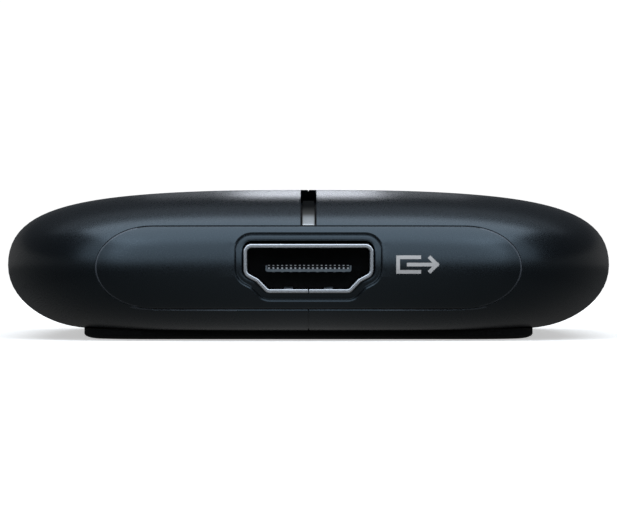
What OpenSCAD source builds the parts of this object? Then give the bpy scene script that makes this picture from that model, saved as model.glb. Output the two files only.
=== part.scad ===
// Video capture box: pebble-shaped casing in two halves with a video socket at each end.
// Millimetres, +Z up. The origin is the middle of the base pad's lower face.
// The output end faces -Y.

/* [Casing] */
// Width across the widest line
body_w = 73.2; // [70:0.2:78]
// Length from end to end
body_l = 112; // [106:1:120]
// Height of the widest line above the table
belt_z = 8.65; // [8.4:0.05:9.2]
// Rise of the crown above the widest line
crown_rise = 9.07; // [8.6:0.01:10]
// Depth of the underside below the widest line
sole_drop = 7.95; // [7.6:0.05:8.2]
// How square the plan outline is, 2 is an ellipse
plan_power = 4; // [3:0.25:6]
// Share of the half width that stays near the crown height
crown_run = 0.72; // [0.6:0.01:0.8]
// Share of the crown rise that stays near the full width
side_run = 0.86; // [0.7:0.01:0.9]
// Share of the underside depth that stays near the full width
skirt_run = 0.59; // [0.5:0.01:0.7]
// Half width of the nearly flat underside
sole_half_w = 27.8; // [26.8:0.1:29]
// Sag of the underside from its middle to its edge
sole_sag = 0.46; // [0.3:0.02:0.6]
// Casing wall thickness
wall = 1.6; // [1.4:0.1:1.8]
// Gap between the two casing halves
seam = 0.1; // [0.06:0.02:0.16]
// Clearance between pieces that are dropped into each other
fit = 0.1; // [0.06:0.02:0.14]

/* [End panels] */
// Length of the straight part of the panel's long edges
panel_straight = 35.7; // [34:0.1:38]
// Reach of each rounded panel end
panel_end = 6.5; // [5.5:0.1:7]
// Panel height
panel_h = 9.46; // [9:0.02:9.8]
// Drop of the panel's middle below the widest line
panel_drop = 0.27; // [0.2:0.01:0.5]
// Width of the hidden lip behind the casing
lip_w = 1.2; // [0.8:0.1:1.4]
// Thickness of the hidden lip
lip_t = 1; // [0.8:0.1:1.2]
// Width of the recess around a video socket
recess_w = 0.75; // [0.6:0.05:0.9]
// Depth of the front recess below the panel's foremost line
front_recess = 0.3; // [0.2:0.05:0.4]
// Depth of the rear recess below the panel's foremost line
rear_recess = 0.85; // [0.7:0.05:1]
// Gap around a socket in its panel opening
socket_gap = 0.3; // [0.3:0.05:0.4]

/* [Light slot] */
// Width of the slot in the crown
slot_w = 1.8; // [1.6:0.1:2.2]
// Distance from the front end to the slot's end wall
slot_l = 25; // [24:1:30]
// Width of the light guide's visible rib
guide_w = 1.4; // [1.2:0.1:1.4]
// Depth of the light guide below the casing surface
guide_sink = 1.3; // [1.1:0.1:1.3]
// Height of the light guide's rib
guide_h = 1.9; // [1.6:0.1:2.2]
// Width of the light guide's hidden flange
guide_flange_w = 4.4; // [3.6:0.2:5]
// Thickness of the light guide's hidden flange
guide_flange_t = 0.9; // [0.7:0.1:1.1]
// Length of the light guide's foot above the light source
guide_foot = 3; // [2:0.5:3]
// Place of the foot as a share of the slot's length
guide_foot_at = 0.66; // [0.64:0.01:0.7]

/* [Video sockets] */
// Clear width of the mouth
video_w = 13.9; // [13.7:0.05:14.1]
// Clear height of the mouth
video_h = 4.68; // [4.6:0.02:4.8]
// Width of the flat at the foot of the D shape
video_flat = 9.1; // [8.8:0.1:9.4]
// Width of each sloping corner of the D shape
video_slope_w = 1.1; // [1:0.05:1.2]
// Height of each sloping corner of the D shape
video_slope_h = 1.15; // [1.05:0.05:1.25]
// Height of the foot of the upright sides above the floor
video_side_h = 1.85; // [1.75:0.05:1.95]
// Height of the mouth's middle below the widest line
video_drop = 0.4; // [0.3:0.05:0.5]
// Thickness of the sheet metal
sheet = 0.35; // [0.25:0.05:0.4]
// Length of the socket shell
video_l = 11.5; // [11:0.25:12]
// Place of the rear video socket across its panel
video_in_x = -9; // [-9.5:0.25:-8.5]
// Width of the tongue
tongue_w = 9.85; // [9.7:0.05:9.9]
// Thickness of the bare tongue
tongue_t = 0.77; // [0.7:0.01:0.8]
// Distance from the mouth to the tongue
tongue_set = 2.75; // [2.6:0.05:3]
// Length of the block behind the tongue
block_l = 3; // [2.5:0.25:3.25]
// Spacing of the contacts in one row
contact_pitch = 1; // [1:0.1:1]
// Width of one contact strip
contact_w = 0.3; // [0.2:0.05:0.4]
// Thickness of one contact strip
contact_t = 0.12; // [0.1:0.01:0.15]

/* [Spring fingers] */
// Distance of each finger from the socket's middle
finger_x = 2.28; // [2:0.02:2.4]
// Width of a finger
finger_w = 1; // [0.8:0.05:1.1]
// Length of a finger
finger_l = 4.4; // [4:0.1:4.6]
// Thickness of a finger
finger_t = 0.2; // [0.15:0.05:0.25]
// Height of the finger's crest above the socket floor
finger_crest = 0.26; // [0.2:0.02:0.3]
// Gap around a finger in its window
finger_gap = 0.15; // [0.1:0.05:0.2]
// Distance of the finger's free end behind the tongue's front edge
finger_set = 0.1; // [0.1:0.05:0.2]

/* [Data socket] */
// Clear width of the mouth
data_w = 8.34; // [8.3:0.02:8.4]
// Clear height of the mouth
data_h = 2.56; // [2.5:0.02:2.6]
// Thickness of the sheet metal
data_sheet = 0.3; // [0.25:0.05:0.35]
// Length of the socket shell
data_l = 10; // [9.75:0.25:10.5]
// Place of the socket across the panel
data_x = 11; // [10:0.25:12]
// Width of the tongue
data_tongue_w = 6.7; // [6.5:0.05:6.8]
// Thickness of the bare tongue
data_tongue_t = 0.5; // [0.45:0.01:0.6]
// Distance from the mouth to the tongue
data_tongue_set = 1; // [0.8:0.1:1.2]
// Contacts in one row
data_contact_count = 12; // [8:2:12]
// Spacing of the contacts in one row
data_pitch = 0.5; // [0.5:0.05:0.5]
// Width of one contact strip
data_contact_w = 0.25; // [0.2:0.01:0.3]

/* [Board and frame] */
// Distance from the casing's side to the board
board_side = 7.1; // [6.5:0.1:8]
// Distance from the casing's end to the board
board_end = 7; // [6.5:0.1:7.5]
// Board thickness
board_t = 1.2; // [1:0.1:1.4]
// Length of each sloping board corner across the board
board_corner_x = 13.5; // [12:0.5:15]
// Length of each sloping board corner along the board
board_corner_y = 14; // [13:0.5:15]
// Distance of the screws from the board's sides
screw_side = 9.5; // [9:0.1:11]
// Distance of the screws from the board's ends
screw_end = 16; // [15.5:0.1:18]
// Screw shank radius
screw_r = 0.95; // [0.9:0.05:1.1]
// Screw head radius
screw_head_r = 1.9; // [1.7:0.05:2.1]
// Screw head height
screw_head_h = 1.1; // [0.9:0.05:1.2]
// Radius of the posts under the board
post_r = 3.2; // [3:0.1:3.6]
// Radius of the frame's pillars
pillar_r = 2.6; // [2.2:0.1:2.8]
// Height of the frame's rails above the board
rail_lift = 3; // [2.8:0.1:3.4]
// Width of the frame's rails
rail_w = 3; // [2.5:0.1:3.2]
// Height of the frame's rails
rail_h = 2; // [1.8:0.1:2.4]
// Distance of the side arms from the middle along the box
arm_y = 12; // [10:0.5:16]

/* [Base pad] */
// Distance from the casing's side to the pad
pad_side = 10.15; // [10:0.05:11.5]
// Distance from the casing's end to the pad
pad_end = 12; // [11:0.25:14]
// Corner radius of the pad outline
pad_corner = 8.4; // [7:0.2:10]
// Rounding of the pad's lower edge
pad_edge = 0.6; // [0.4:0.05:0.6]
// Depth of the pad's seat in the underside
pad_sink = 0.55; // [0.5:0.05:0.6]

/* [Cooling and shield] */
// Side of the processor
cpu_side = 15; // [12:0.5:17]
// Height of the processor
cpu_h = 1.2; // [1:0.1:1.4]
// Thickness of the thermal pad
thermal_t = 0.8; // [0.5:0.1:1]
// Side of the heat sink
sink_side = 26; // [22:0.5:28]
// Height of the heat sink
sink_h = 6; // [5:0.25:6.5]
// Thickness of the heat sink's base
sink_base = 1.5; // [1.2:0.1:1.8]
// Number of fins
fin_count = 7; // [5:1:9]
// Thickness of one fin
fin_t = 1.2; // [1:0.1:1.4]
// Shield size across the box
shield_w = 20; // [18:0.5:22]
// Shield size along the box
shield_l = 14; // [13:0.5:15]
// Shield height
shield_h = 2.2; // [2:0.1:2.4]
// Thickness of the shield metal
shield_t = 0.3; // [0.2:0.05:0.4]

/* [Hidden] */
$fn = 48;
big = 200;
half_w = body_w / 2;
half_l = body_l / 2;
plan_points = 64;
hidden_points = 40;
crown_steps = 12;
skirt_steps = 9;
cap_share = 0.05;
// Sizes and places that follow the casing's
board_w = body_w - 2 * board_side;
board_l = body_l - 2 * board_end;
screw_x = board_w / 2 - screw_side;
screw_y = board_l / 2 - screw_end;
pad_w = body_w - 2 * pad_side;
pad_l = body_l - 2 * pad_end;
// Heights that the pieces share
sole_z = belt_z - sole_drop;
pad_top = sole_z + pad_sink;
panel_z = belt_z - panel_drop;
socket_z = belt_z - video_drop;
board_top = socket_z - video_h / 2 - sheet;
board_low = board_top - board_t;
data_z = board_top + data_h / 2 + data_sheet;
head_top = pad_top + fit + screw_head_h;
rail_low = board_top + rail_lift;
rail_top = rail_low + rail_h;
// Mouth planes of the sockets, measured from the middle of the box
rim_stand = 0.05;
front_mouth = half_l - front_recess + rim_stand;
rear_mouth = half_l - rear_recess + rim_stand;
// Panel depth, where its back ends, and how far the cutting blocks reach past the ends and into the box
panel_deep = wall + fit + lip_t;
board_gap = 0.4;
panel_back = board_end - board_gap;
past = 1;
reach = 9;
opening_r = screw_r + 0.15;
thread_gap = 0.02;
tip_gap = 0.5;
drive_size = [2, 0.4, 1];
screw_tip = rail_top - tip_gap;
// Corner radii of the video sockets' mouth
mouth_low_r = 0.4;
mouth_bend_r = 0.3;
mouth_side_r = 0.6;
mouth_top_r = 0.5;
// Solder legs and contact tails
leg_back = 0.9;
video_leg_step = 2.3;
data_leg_step = 1.7;
leg_w = 1.2;
leg_reach = 0.6;
leg_gap = 0.15;
tail_foot = 0.8;
upper_tail = 0.6;
lower_tail = 0.2;
tongue_fit = 0.02;
upper_gaps = 9;
lower_gaps = 8;
contact_set = 0.05;
// Frame arms and the catches that hold them in the casing
arm_w = 3;
arm_h = rail_h;
catch_wall = 1.2;
catch_w = 2 * (catch_wall + fit) + arm_w;
catch_h = 2 * (catch_wall + fit) + arm_h;
catch_l = 4;
side_in = half_w - wall;
// Spring fingers
finger_y = tongue_set + finger_set;
finger_end = finger_y + finger_l;
finger_bump = 1;
notch_w = 2 * (finger_x + finger_w);
// Light guide
guide_y = half_l - slot_l;
guide_steps = 48;
foot_y = guide_foot_at * slot_l - half_l;
led_size = [1.6, 2, 0.8];
led_gap = 0.1;
foot_low = board_top + led_size.z + led_gap;
foot_top = belt_z + crown_rise - wall - guide_h;
// Sizes of the board's parts
receiver_size = [10, 10, 0.9];
driver_size = [9, 9, 0.9];
bridge_size = [8, 8, 0.9];
memory_size = [8, 12, 1];
flash_size = [5, 6, 1.6];
crystal_size = [3.2, 2.5, 0.8];
inductor_size = [4, 4, 2];
passive_size = [1, 0.5, 0.5];
surge_size = [2.5, 1, 0.5];
capacitor_r = 2;
capacitor_h = 2.4;
// Distances between the board's parts
row_side = 5.5;
part_gap = 4;
shield_in = 10;
bridge_in = 7;
driver_in = 9;
surge_out = 7;
surge_step = 4;
inductor_in = 15;
inductor_step = 6;
capacitor_in = 8.5;
crystal_step = 8;
passive_x = 10.5;
passive_gap = 2.5;
passive_step = 3;
// Rows in which the board's parts stand
side_row = board_w / 2 - row_side;
shield_at = [video_in_x, screw_y - shield_in];
bridge_row = screw_y - bridge_in;
driver_row = driver_in - screw_y;
surge_row = screw_y + surge_out;
memory_row = (memory_size.y + part_gap) / 2;
flash_row = part_gap;
inductor_row = inductor_in - screw_y;
capacitor_row = screw_y - capacitor_in;

// Outline and profile formulas

function bez(p, t) = let (u = 1 - t)
    u * u * u * p[0] + 3 * u * u * t * p[1] + 3 * u * t * t * p[2] + t * t * t * p[3];
function crown_curve(s) = let (a = half_w - s, c = crown_rise - s)
    [[0, c], [crown_run * a, c], [a, side_run * c], [a, 0]];
function skirt_curve(s) = let (a = half_w - s, e = sole_half_w - s, d = sole_drop - s, k = 0.4 * (a - e))
    [[a, 0], [a, -skirt_run * d], [e + k, sole_sag - d + 0.04 * k], [e, sole_sag - d]];
function sole_point(s, u) = let (e = sole_half_w - s, d = sole_drop - s) [e * u, sole_sag * u * u - d];
// Half width and height of each ring of the casing form, moved inwards by s
function rings(s) = concat(
    [for (i = [0 : crown_steps]) bez(crown_curve(s), cap_share + (1 - cap_share) * i / crown_steps)],
    [for (i = [1 : skirt_steps]) bez(skirt_curve(s), i / skirt_steps)],
    [sole_point(s, 0.55), sole_point(s, 0.12)]);
function power_of(v) = sign(v) * pow(abs(v), 2 / plan_power);
function ring_point(r, g) = let (l = half_l - half_w + r[0])
    [r[0] * power_of(cos(g)), l * power_of(sin(g)), belt_z + r[1]];
function unit(v) = v / norm(v);
// Polygon moved outwards by g with sharp corners
function grown(p, g) = let (n = len(p)) [for (i = [0 : n - 1])
    let (u = unit(p[i] - p[(i + n - 1) % n]), v = unit(p[(i + 1) % n] - p[i]))
    let (m = [u.y, -u.x], k = [v.y, -v.x])
    p[i] + g * (m + k) / (1 + m * k)];
// Polygon with corner i rounded to radius r[i]
function rounded(p, r, n = 5) = let (c = len(p)) [for (i = [0 : c - 1])
    let (u = unit(p[i] - p[(i + c - 1) % c]), v = unit(p[(i + 1) % c] - p[i]))
    let (turn = atan2(cross(u, v), u * v), start = p[i] - u * r[i] * tan(abs(turn) / 2))
    let (mid = start + sign(turn) * r[i] * [-u.y, u.x])
    for (j = [0 : n]) let (g = turn * j / n, d = start - mid)
        mid + [d.x * cos(g) - d.y * sin(g), d.x * sin(g) + d.y * cos(g)]];
// D-shaped mouth of a video socket, counter-clockwise from the lower left
function mouth() = let (w = video_w / 2, h = video_h / 2, f = video_flat / 2, e = f + video_slope_w,
        k = video_slope_h - h, m = video_side_h - h)
    [[-f, -h], [f, -h], [e, k], [w, m], [w, h], [-w, h], [-w, m], [-e, k]];
function mouth_grown(g) = let (low = mouth_low_r + g, bend = mouth_bend_r, side = mouth_side_r + g,
        top = mouth_top_r + g)
    rounded(grown(mouth(), g), [low, low, bend, side, top, top, side, bend]);
function panel_outline(g) = let (s = panel_straight / 2, w = panel_end + g, h = panel_h / 2 + g)
    [for (q = [0, 1], i = [0 : 20]) let (a = 180 * q - 90 + 9 * i, k = 1 - 2 * q)
        [k * s + w * cos(a), h * sin(a)]];

// Shared solids

// Casing form moved inwards by s, with n points round each ring
module casing_form(s, n) {
    r = rings(s);
    m = len(r);
    pts = [for (i = [0 : m - 1], j = [0 : n - 1]) ring_point(r[i], 360 * j / n)];
    walls = [for (i = [0 : m - 2], j = [0 : n - 1], k = [0, 1])
        k == 0 ? [i * n + j, i * n + (j + 1) % n, (i + 1) * n + (j + 1) % n]
               : [i * n + j, (i + 1) * n + (j + 1) % n, (i + 1) * n + j]];
    top_cap = [for (j = [0 : n - 1]) n - 1 - j];
    low_cap = [for (j = [0 : n - 1]) (m - 1) * n + j];
    polyhedron(pts, concat(walls, [top_cap, low_cap]));
}

// Flat outline in X and Z stood up so that it runs from depth y0 to y1
module upright(y0, y1) {
    translate([0, y1, 0])
        rotate([90, 0, 0])
            linear_extrude(y1 - y0)
                children();
}

// Flat outline in Y and Z given a width across X
module across(w) {
    rotate([90, 0, 90])
        linear_extrude(w, center = true)
            children();
}

// Half of the space on one side of the seam
module half_space(side) {
    translate([side * (big + seam) / 2, 0, 0])
        cube([big, big, big], center = true);
}

module panel_prism(g, deep) {
    translate([0, 0, panel_z])
        upright(-half_l - past, -half_l + deep)
            polygon(panel_outline(g));
}

module case_half(side) {
    difference() {
        union() {
            difference() {
                intersection() {
                    casing_form(0, plan_points);
                    half_space(side);
                }
                casing_form(wall, hidden_points);
                panel_prism(0, reach);
                rotate([0, 0, 180])
                    panel_prism(0, reach);
                translate([-slot_w / 2, -half_l - past, panel_z])
                    cube([slot_w, slot_l + past, big]);
            }
            for (y = [-screw_y, screw_y])
                translate([side * screw_x, y, pad_top])
                    cylinder(r = post_r, h = board_low - pad_top);
            for (y = [-arm_y, arm_y])
                translate([side * (side_in + wall / 2 - catch_l / 2), y, rail_low + rail_h / 2])
                    cube([catch_l, catch_w, catch_h], center = true);
        }
        pad_blank(fit, pad_top, big);
        for (y = [-screw_y, screw_y])
            translate([side * screw_x, y, 0]) {
                cylinder(r = opening_r, h = board_top);
                cylinder(r = screw_head_r + 2 * fit, h = head_top);
            }
        for (y = [-arm_y, arm_y])
            translate([side * (side_in - big / 2), y, rail_low + rail_h / 2])
                cube([big, arm_w + 2 * fit, arm_h + 2 * fit], center = true);
    }
}

// Pad outline grown by g, from far below up to height top
module pad_blank(g, top, depth) {
    translate([0, 0, top - depth])
        linear_extrude(depth)
            polygon(pad_outline(g));
}
function pad_outline(g) = let (w = pad_w / 2 + g, l = pad_l / 2 + g, r = pad_corner + g)
    rounded([[-w, -l], [w, -l], [w, l], [-w, l]], [r, r, r, r], 10);

module left_shell() {
    color("#15161a") case_half(-1);
}

module right_shell() {
    color("#15161a") case_half(1);
}

// End panel with its hidden lip, drawn at the front
module panel_blank() {
    difference() {
        union() {
            intersection() {
                casing_form(0, plan_points);
                panel_prism(-fit, panel_back);
            }
            intersection() {
                casing_form(wall + fit, hidden_points);
                panel_prism(lip_w, panel_back);
            }
        }
        casing_form(panel_deep, hidden_points);
    }
}

// Space taken out of a panel drawn at the front by a video socket and its recess
module video_space(x, recess) {
    translate([x, 0, socket_z]) {
        upright(-half_l - past, -half_l + reach)
            polygon(mouth_grown(sheet + socket_gap));
        upright(-half_l - past, -half_l + recess)
            polygon(mouth_grown(sheet + socket_gap + recess_w));
    }
}

module front_panel() {
    color("#1b1d22") difference() {
        panel_blank();
        video_space(0, front_recess);
        translate([-guide_flange_w / 2 - fit, -half_l, panel_z + panel_h / 2])
            cube([guide_flange_w + 2 * fit, reach, big]);
    }
}

module rear_panel() {
    color("#1b1d22") rotate([0, 0, 180]) difference() {
        panel_blank();
        video_space(-video_in_x, rear_recess);
        translate([-data_x, 0, data_z]) {
            upright(-half_l - past, -half_l + reach)
                polygon(slot_outline(data_w, data_h, data_sheet + socket_gap));
            upright(-half_l - past, -half_l + rear_recess)
                polygon(slot_outline(data_w, data_h, data_sheet + socket_gap + recess_w));
        }
    }
}
// Round-ended slot outline of clear size w by h, grown by g
function slot_outline(w, h, g) = let (s = (w - h) / 2, r = h / 2 + g)
    [for (q = [0, 1], i = [0 : 12]) let (a = 180 * q - 90 + 15 * i, k = 1 - 2 * q)
        [k * s + r * cos(a), r * sin(a)]];

// Lengthwise line of the crown at depth s, from the slot's end to the front panel
function crown_line(s) = [for (i = [0 : guide_steps])
    let (p = bez(crown_curve(s), i / guide_steps), y = half_w - half_l - p[0], z = p[1] + belt_z)
    if (z > panel_z + panel_h / 2 + fit && y < -guide_y - fit) [y, z]];
function band(s0, s1) = let (a = crown_line(s0), b = crown_line(s1), n = len(b))
    concat(a, [for (i = [0 : n - 1]) b[n - 1 - i]]);

module light_guide() {
    color("#c9ced2") union() {
        across(guide_w)
            polygon(band(guide_sink, guide_sink + guide_h));
        across(guide_flange_w)
            polygon(band(wall + 2 * fit, wall + 2 * fit + guide_flange_t));
        translate([-guide_w / 2, foot_y - guide_foot / 2, foot_low])
            cube([guide_w, guide_foot, foot_top - foot_low]);
    }
}

module base_pad() {
    w = pad_w / 2 - pad_corner;
    l = pad_l / 2 - pad_corner;
    color("#0d0d0e") union() {
        for (x = [-w, w], y = [-l, l])
            translate([x, y, 0])
                rotate_extrude()
                    pad_section();
        for (side = [0, 180])
            rotate([0, 0, side]) {
                translate([w, l, 0])
                    rotate([90, 0, 0])
                        linear_extrude(2 * l)
                            pad_section();
                translate([-w, l, 0])
                    rotate([90, 0, 90])
                        linear_extrude(2 * w)
                            pad_section();
            }
        translate([-w, -l, 0])
            cube([2 * w, 2 * l, pad_top]);
    }
}

// Section of the pad's rim with its rounded lower edge
module pad_section() {
    union() {
        square([pad_corner - pad_edge, pad_top]);
        translate([0, pad_edge])
            square([pad_corner, pad_top - pad_edge]);
        intersection() {
            translate([pad_corner - pad_edge, pad_edge])
                circle(pad_edge);
            square([pad_corner, pad_top]);
        }
    }
}

// Board, frame and screws

function board_outline() =
    let (w = board_w / 2, l = board_l / 2, i = w - board_corner_x, j = l - board_corner_y)
    [[-i, -l], [i, -l], [w, -j], [w, j], [i, l], [-i, l], [-w, j], [-w, -j]];

module main_board() {
    color("#1d3a2a") difference() {
        translate([0, 0, board_low])
            linear_extrude(board_t)
                polygon(board_outline());
        for (x = [-screw_x, screw_x], y = [-screw_y, screw_y])
            translate([x, y, board_low - past])
                cylinder(r = opening_r, h = board_t + 2 * past);
        front_socket() board_cuts();
        rear_socket() board_cuts();
        data_place()
            for (x = [-1, 1], y = data_legs())
                translate([x * (data_w + data_sheet) / 2, y, 0])
                    cube([data_sheet + 2 * leg_gap, leg_w + 2 * leg_gap, big], center = true);
    }
}

// Slots for a video socket's legs and a notch under its spring fingers
module board_cuts() {
    for (x = [-1, 1], y = video_legs())
        translate([x * (video_w + sheet) / 2, y, 0])
            cube([sheet + 2 * leg_gap, leg_w + 2 * leg_gap, big], center = true);
    translate([-notch_w / 2, -past, -big / 2])
        cube([notch_w, finger_end + 2 * past, big]);
}
function video_legs() = [video_l - leg_back - video_leg_step, video_l - leg_back];
function data_legs() = [data_l - leg_back - data_leg_step, data_l - leg_back];

module chassis() {
    color("#2a2c30") difference() {
        union() {
            for (x = [-screw_x, screw_x], y = [-screw_y, screw_y])
                translate([x, y, board_top])
                    cylinder(r = pillar_r, h = rail_top - board_top);
            for (x = [-screw_x, screw_x])
                translate([x - rail_w / 2, -screw_y, rail_low])
                    cube([rail_w, 2 * screw_y, rail_h]);
            for (y = [-screw_y, screw_y])
                translate([-screw_x, y - rail_w / 2, rail_low])
                    cube([2 * screw_x, rail_w, rail_h]);
            for (y = [-arm_y, arm_y], side = [-1, 1])
                translate([side * (screw_x + side_in - fit) / 2, y, rail_low + rail_h / 2])
                    cube([side_in - fit - screw_x, arm_w, arm_h], center = true);
        }
        for (x = [-screw_x, screw_x], y = [-screw_y, screw_y])
            translate([x, y, board_top - past])
                cylinder(r = screw_r + thread_gap, h = screw_tip + fit - board_top + past);
    }
}

module case_screws() {
    color("#8d9094")
        for (x = [-screw_x, screw_x], y = [-screw_y, screw_y])
            translate([x, y, 0])
                screw();
}

module screw() {
    difference() {
        union() {
            translate([0, 0, head_top - screw_head_h])
                cylinder(r = screw_head_r, h = screw_head_h);
            translate([0, 0, head_top - fit])
                cylinder(r = screw_r, h = screw_tip - head_top + fit);
        }
        for (g = [0, 90])
            rotate([0, 0, g])
                translate([0, 0, head_top - screw_head_h])
                    cube(drive_size, center = true);
    }
}

// Video sockets, drawn with the mouth at y 0 and the inside towards +Y

module front_socket() {
    translate([0, -front_mouth, socket_z])
        children();
}

module rear_socket() {
    translate([video_in_x, rear_mouth, socket_z])
        rotate([0, 0, 180])
            children();
}

module video_shell() {
    difference() {
        union() {
            upright(0, video_l)
                polygon(mouth_grown(sheet));
            for (x = [-1, 1], y = video_legs())
                translate([x * (video_w + sheet) / 2, y, (board_low - leg_reach - socket_z) / 2])
                    cube([sheet, leg_w, socket_z - board_low + leg_reach], center = true);
        }
        upright(-past, video_l + past)
            polygon(mouth_grown(0));
        for (x = [-finger_x, finger_x])
            translate([x - finger_w / 2 - finger_gap, finger_y - finger_gap, -video_h / 2 - past])
                cube([finger_w + 2 * finger_gap, finger_l + 2 * finger_gap, past + fit]);
    }
}

module video_tongue() {
    difference() {
        union() {
            upright(video_l - block_l, video_l)
                polygon(mouth_grown(-tongue_fit));
            translate([-tongue_w / 2, tongue_set, -tongue_t / 2])
                cube([tongue_w, video_l - block_l - tongue_set + past, tongue_t]);
        }
        for (x = contact_places(upper_gaps))
            translate([x - contact_w / 2, video_l - block_l - past, tongue_t / 2])
                cube([contact_w, block_l + 2 * past, contact_t]);
        for (x = contact_places(lower_gaps))
            translate([x - contact_w / 2, video_l - block_l - past, -tongue_t / 2 - contact_t])
                cube([contact_w, block_l + 2 * past, contact_t]);
    }
}
// Row of places either side of the middle, with one more place than gaps
function contact_places(gaps) = [for (i = [0 : gaps]) (i - gaps / 2) * contact_pitch];

module video_contacts() {
    tip = tongue_set + contact_set;
    low = board_top - socket_z;
    for (x = contact_places(upper_gaps))
        translate([x, 0, 0])
            strip(contact_w, tongue_t / 2, tip, video_l + upper_tail, low);
    for (x = contact_places(lower_gaps))
        translate([x, 0, 0])
            strip(contact_w, -tongue_t / 2 - contact_t, tip, video_l + lower_tail, low);
}

// Flat contact that runs from y0 to y1 at height z and turns down to a foot at height low
module strip(w, z, y0, y1, low) {
    back = y1 + contact_t;
    across(w)
        polygon([[y0, z], [y1, z], [y1, low], [back + tail_foot, low], [back + tail_foot, low + contact_t],
            [back, low + contact_t], [back, z + contact_t], [y0, z + contact_t]]);
}

// Leaf spring in the socket floor, with a round edge at its inner end that it turns on
module finger() {
    a = finger_y;
    b = finger_end;
    c = finger_bump;
    low = -video_h / 2 - (sheet + finger_t) / 2;
    top = low + finger_t;
    crest = -video_h / 2 + finger_crest;
    union() {
        across(finger_w)
            polygon([[a, low], [a + 0.5 * c, crest - finger_t], [a + c, low], [b, low], [b, top],
                [a + c + finger_t, top], [a + 0.7 * c, crest], [a + 0.3 * c, crest],
                [a, top + finger_t / 2]]);
        translate([0, b, low + finger_t / 2])
            rotate([0, 90, 0])
                cylinder(r = finger_t / 2, h = finger_w, center = true);
    }
}

module video_out_shell() {
    color("#b4b8bd") front_socket() video_shell();
}

module video_out_tongue() {
    color("#26282b") front_socket() video_tongue();
}

module video_out_contacts() {
    color("#c9a24a") front_socket() video_contacts();
}

module video_out_finger_left() {
    color("#b4b8bd") front_socket() translate([-finger_x, 0, 0]) finger();
}

module video_out_finger_right() {
    color("#b4b8bd") front_socket() translate([finger_x, 0, 0]) finger();
}

module video_in_shell() {
    color("#b4b8bd") rear_socket() video_shell();
}

module video_in_tongue() {
    color("#26282b") rear_socket() video_tongue();
}

module video_in_contacts() {
    color("#c9a24a") rear_socket() video_contacts();
}

module video_in_finger_left() {
    color("#b4b8bd") rear_socket() translate([-finger_x, 0, 0]) finger();
}

module video_in_finger_right() {
    color("#b4b8bd") rear_socket() translate([finger_x, 0, 0]) finger();
}

// Data socket, drawn with the mouth at y 0 and the inside towards +Y

module data_place() {
    translate([data_x, rear_mouth, data_z])
        rotate([0, 0, 180])
            children();
}

module data_shell() {
    color("#b4b8bd") data_place() difference() {
        union() {
            upright(0, data_l)
                polygon(slot_outline(data_w, data_h, data_sheet));
            for (x = [-1, 1], y = data_legs())
                translate([x * (data_w + data_sheet) / 2, y, (board_low - leg_reach - data_z) / 2])
                    cube([data_sheet, leg_w, data_z - board_low + leg_reach], center = true);
        }
        upright(-past, data_l + past)
            polygon(slot_outline(data_w, data_h, 0));
    }
}

module data_tongue() {
    color("#26282b") data_place() difference() {
        union() {
            upright(data_l - block_l, data_l)
                polygon(slot_outline(data_w, data_h, -tongue_fit));
            translate([-data_tongue_w / 2, data_tongue_set, -data_tongue_t / 2])
                cube([data_tongue_w, data_l - block_l, data_tongue_t]);
        }
        for (x = data_places(), z = [data_tongue_t / 2, -data_tongue_t / 2 - contact_t])
            translate([x - data_contact_w / 2, data_l - block_l - past, z])
                cube([data_contact_w, block_l + 2 * past, contact_t]);
    }
}
function data_places() = let (gaps = data_contact_count - 1)
    [for (i = [0 : gaps]) (i - gaps / 2) * data_pitch];

module data_contacts() {
    tip = data_tongue_set + contact_set;
    low = board_top - data_z;
    near = data_l + lower_tail;
    far = near + tail_foot + upper_tail;
    color("#c9a24a") data_place()
        for (x = data_places())
            translate([x, 0, 0]) {
                strip(data_contact_w, data_tongue_t / 2, tip, far, low);
                strip(data_contact_w, -data_tongue_t / 2 - contact_t, tip, near, low);
            }
}

// Parts on the board

// Block of size s standing on the board with its middle at p
module on_board(p, s) {
    translate([p.x - s.x / 2, p.y - s.y / 2, board_top])
        cube(s);
}

module processor() {
    color("#202124") on_board([0, 0], [cpu_side, cpu_side, cpu_h]);
}

module thermal_pad() {
    color("#8fa0ae") translate([0, 0, cpu_h]) on_board([0, 0], [cpu_side, cpu_side, thermal_t]);
}

module heatsink() {
    fin_gap = (sink_side - fin_t) / (fin_count - 1);
    color("#a9adb1") translate([0, 0, cpu_h + thermal_t]) union() {
        on_board([0, 0], [sink_side, sink_side, sink_base]);
        for (i = [0 : fin_count - 1])
            on_board([-sink_side / 2 + fin_t / 2 + i * fin_gap, 0], [fin_t, sink_side, sink_h]);
    }
}

module video_receiver() {
    color("#202124") on_board(shield_at, receiver_size);
}

module shield_frame() {
    color("#b4b8bd") difference() {
        on_board(shield_at, [shield_w, shield_l, shield_h]);
        translate([shield_at.x, shield_at.y, board_top])
            cube([shield_w - 2 * shield_t, shield_l - 2 * shield_t, 3 * shield_h], center = true);
    }
}

module shield_lid() {
    color("#c3c7cb") translate([0, 0, shield_h]) on_board(shield_at, [shield_w, shield_l, shield_t]);
}

module video_driver() {
    color("#202124") on_board([0, driver_row], driver_size);
}

module data_bridge() {
    color("#202124") on_board([data_x, bridge_row], bridge_size);
}

module memory_chips() {
    color("#202124")
        for (y = [-memory_row, memory_row])
            on_board([side_row, y], memory_size);
}

module flash_chip() {
    color("#202124") on_board([-side_row, flash_row], flash_size);
}

module clock_crystals() {
    color("#b9bcc0")
        for (k = [-1, 1])
            on_board([-side_row, flash_row + k * crystal_step], crystal_size);
}

module power_inductors() {
    color("#3b3d40")
        for (k = [-1 : 1])
            on_board([-side_row, inductor_row + k * inductor_step], inductor_size);
}

module bulk_capacitors() {
    color("#a4a8ac")
        for (y = [-capacitor_row, capacitor_row])
            translate([side_row, y, board_top])
                cylinder(r = capacitor_r, h = capacitor_h);
}

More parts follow.
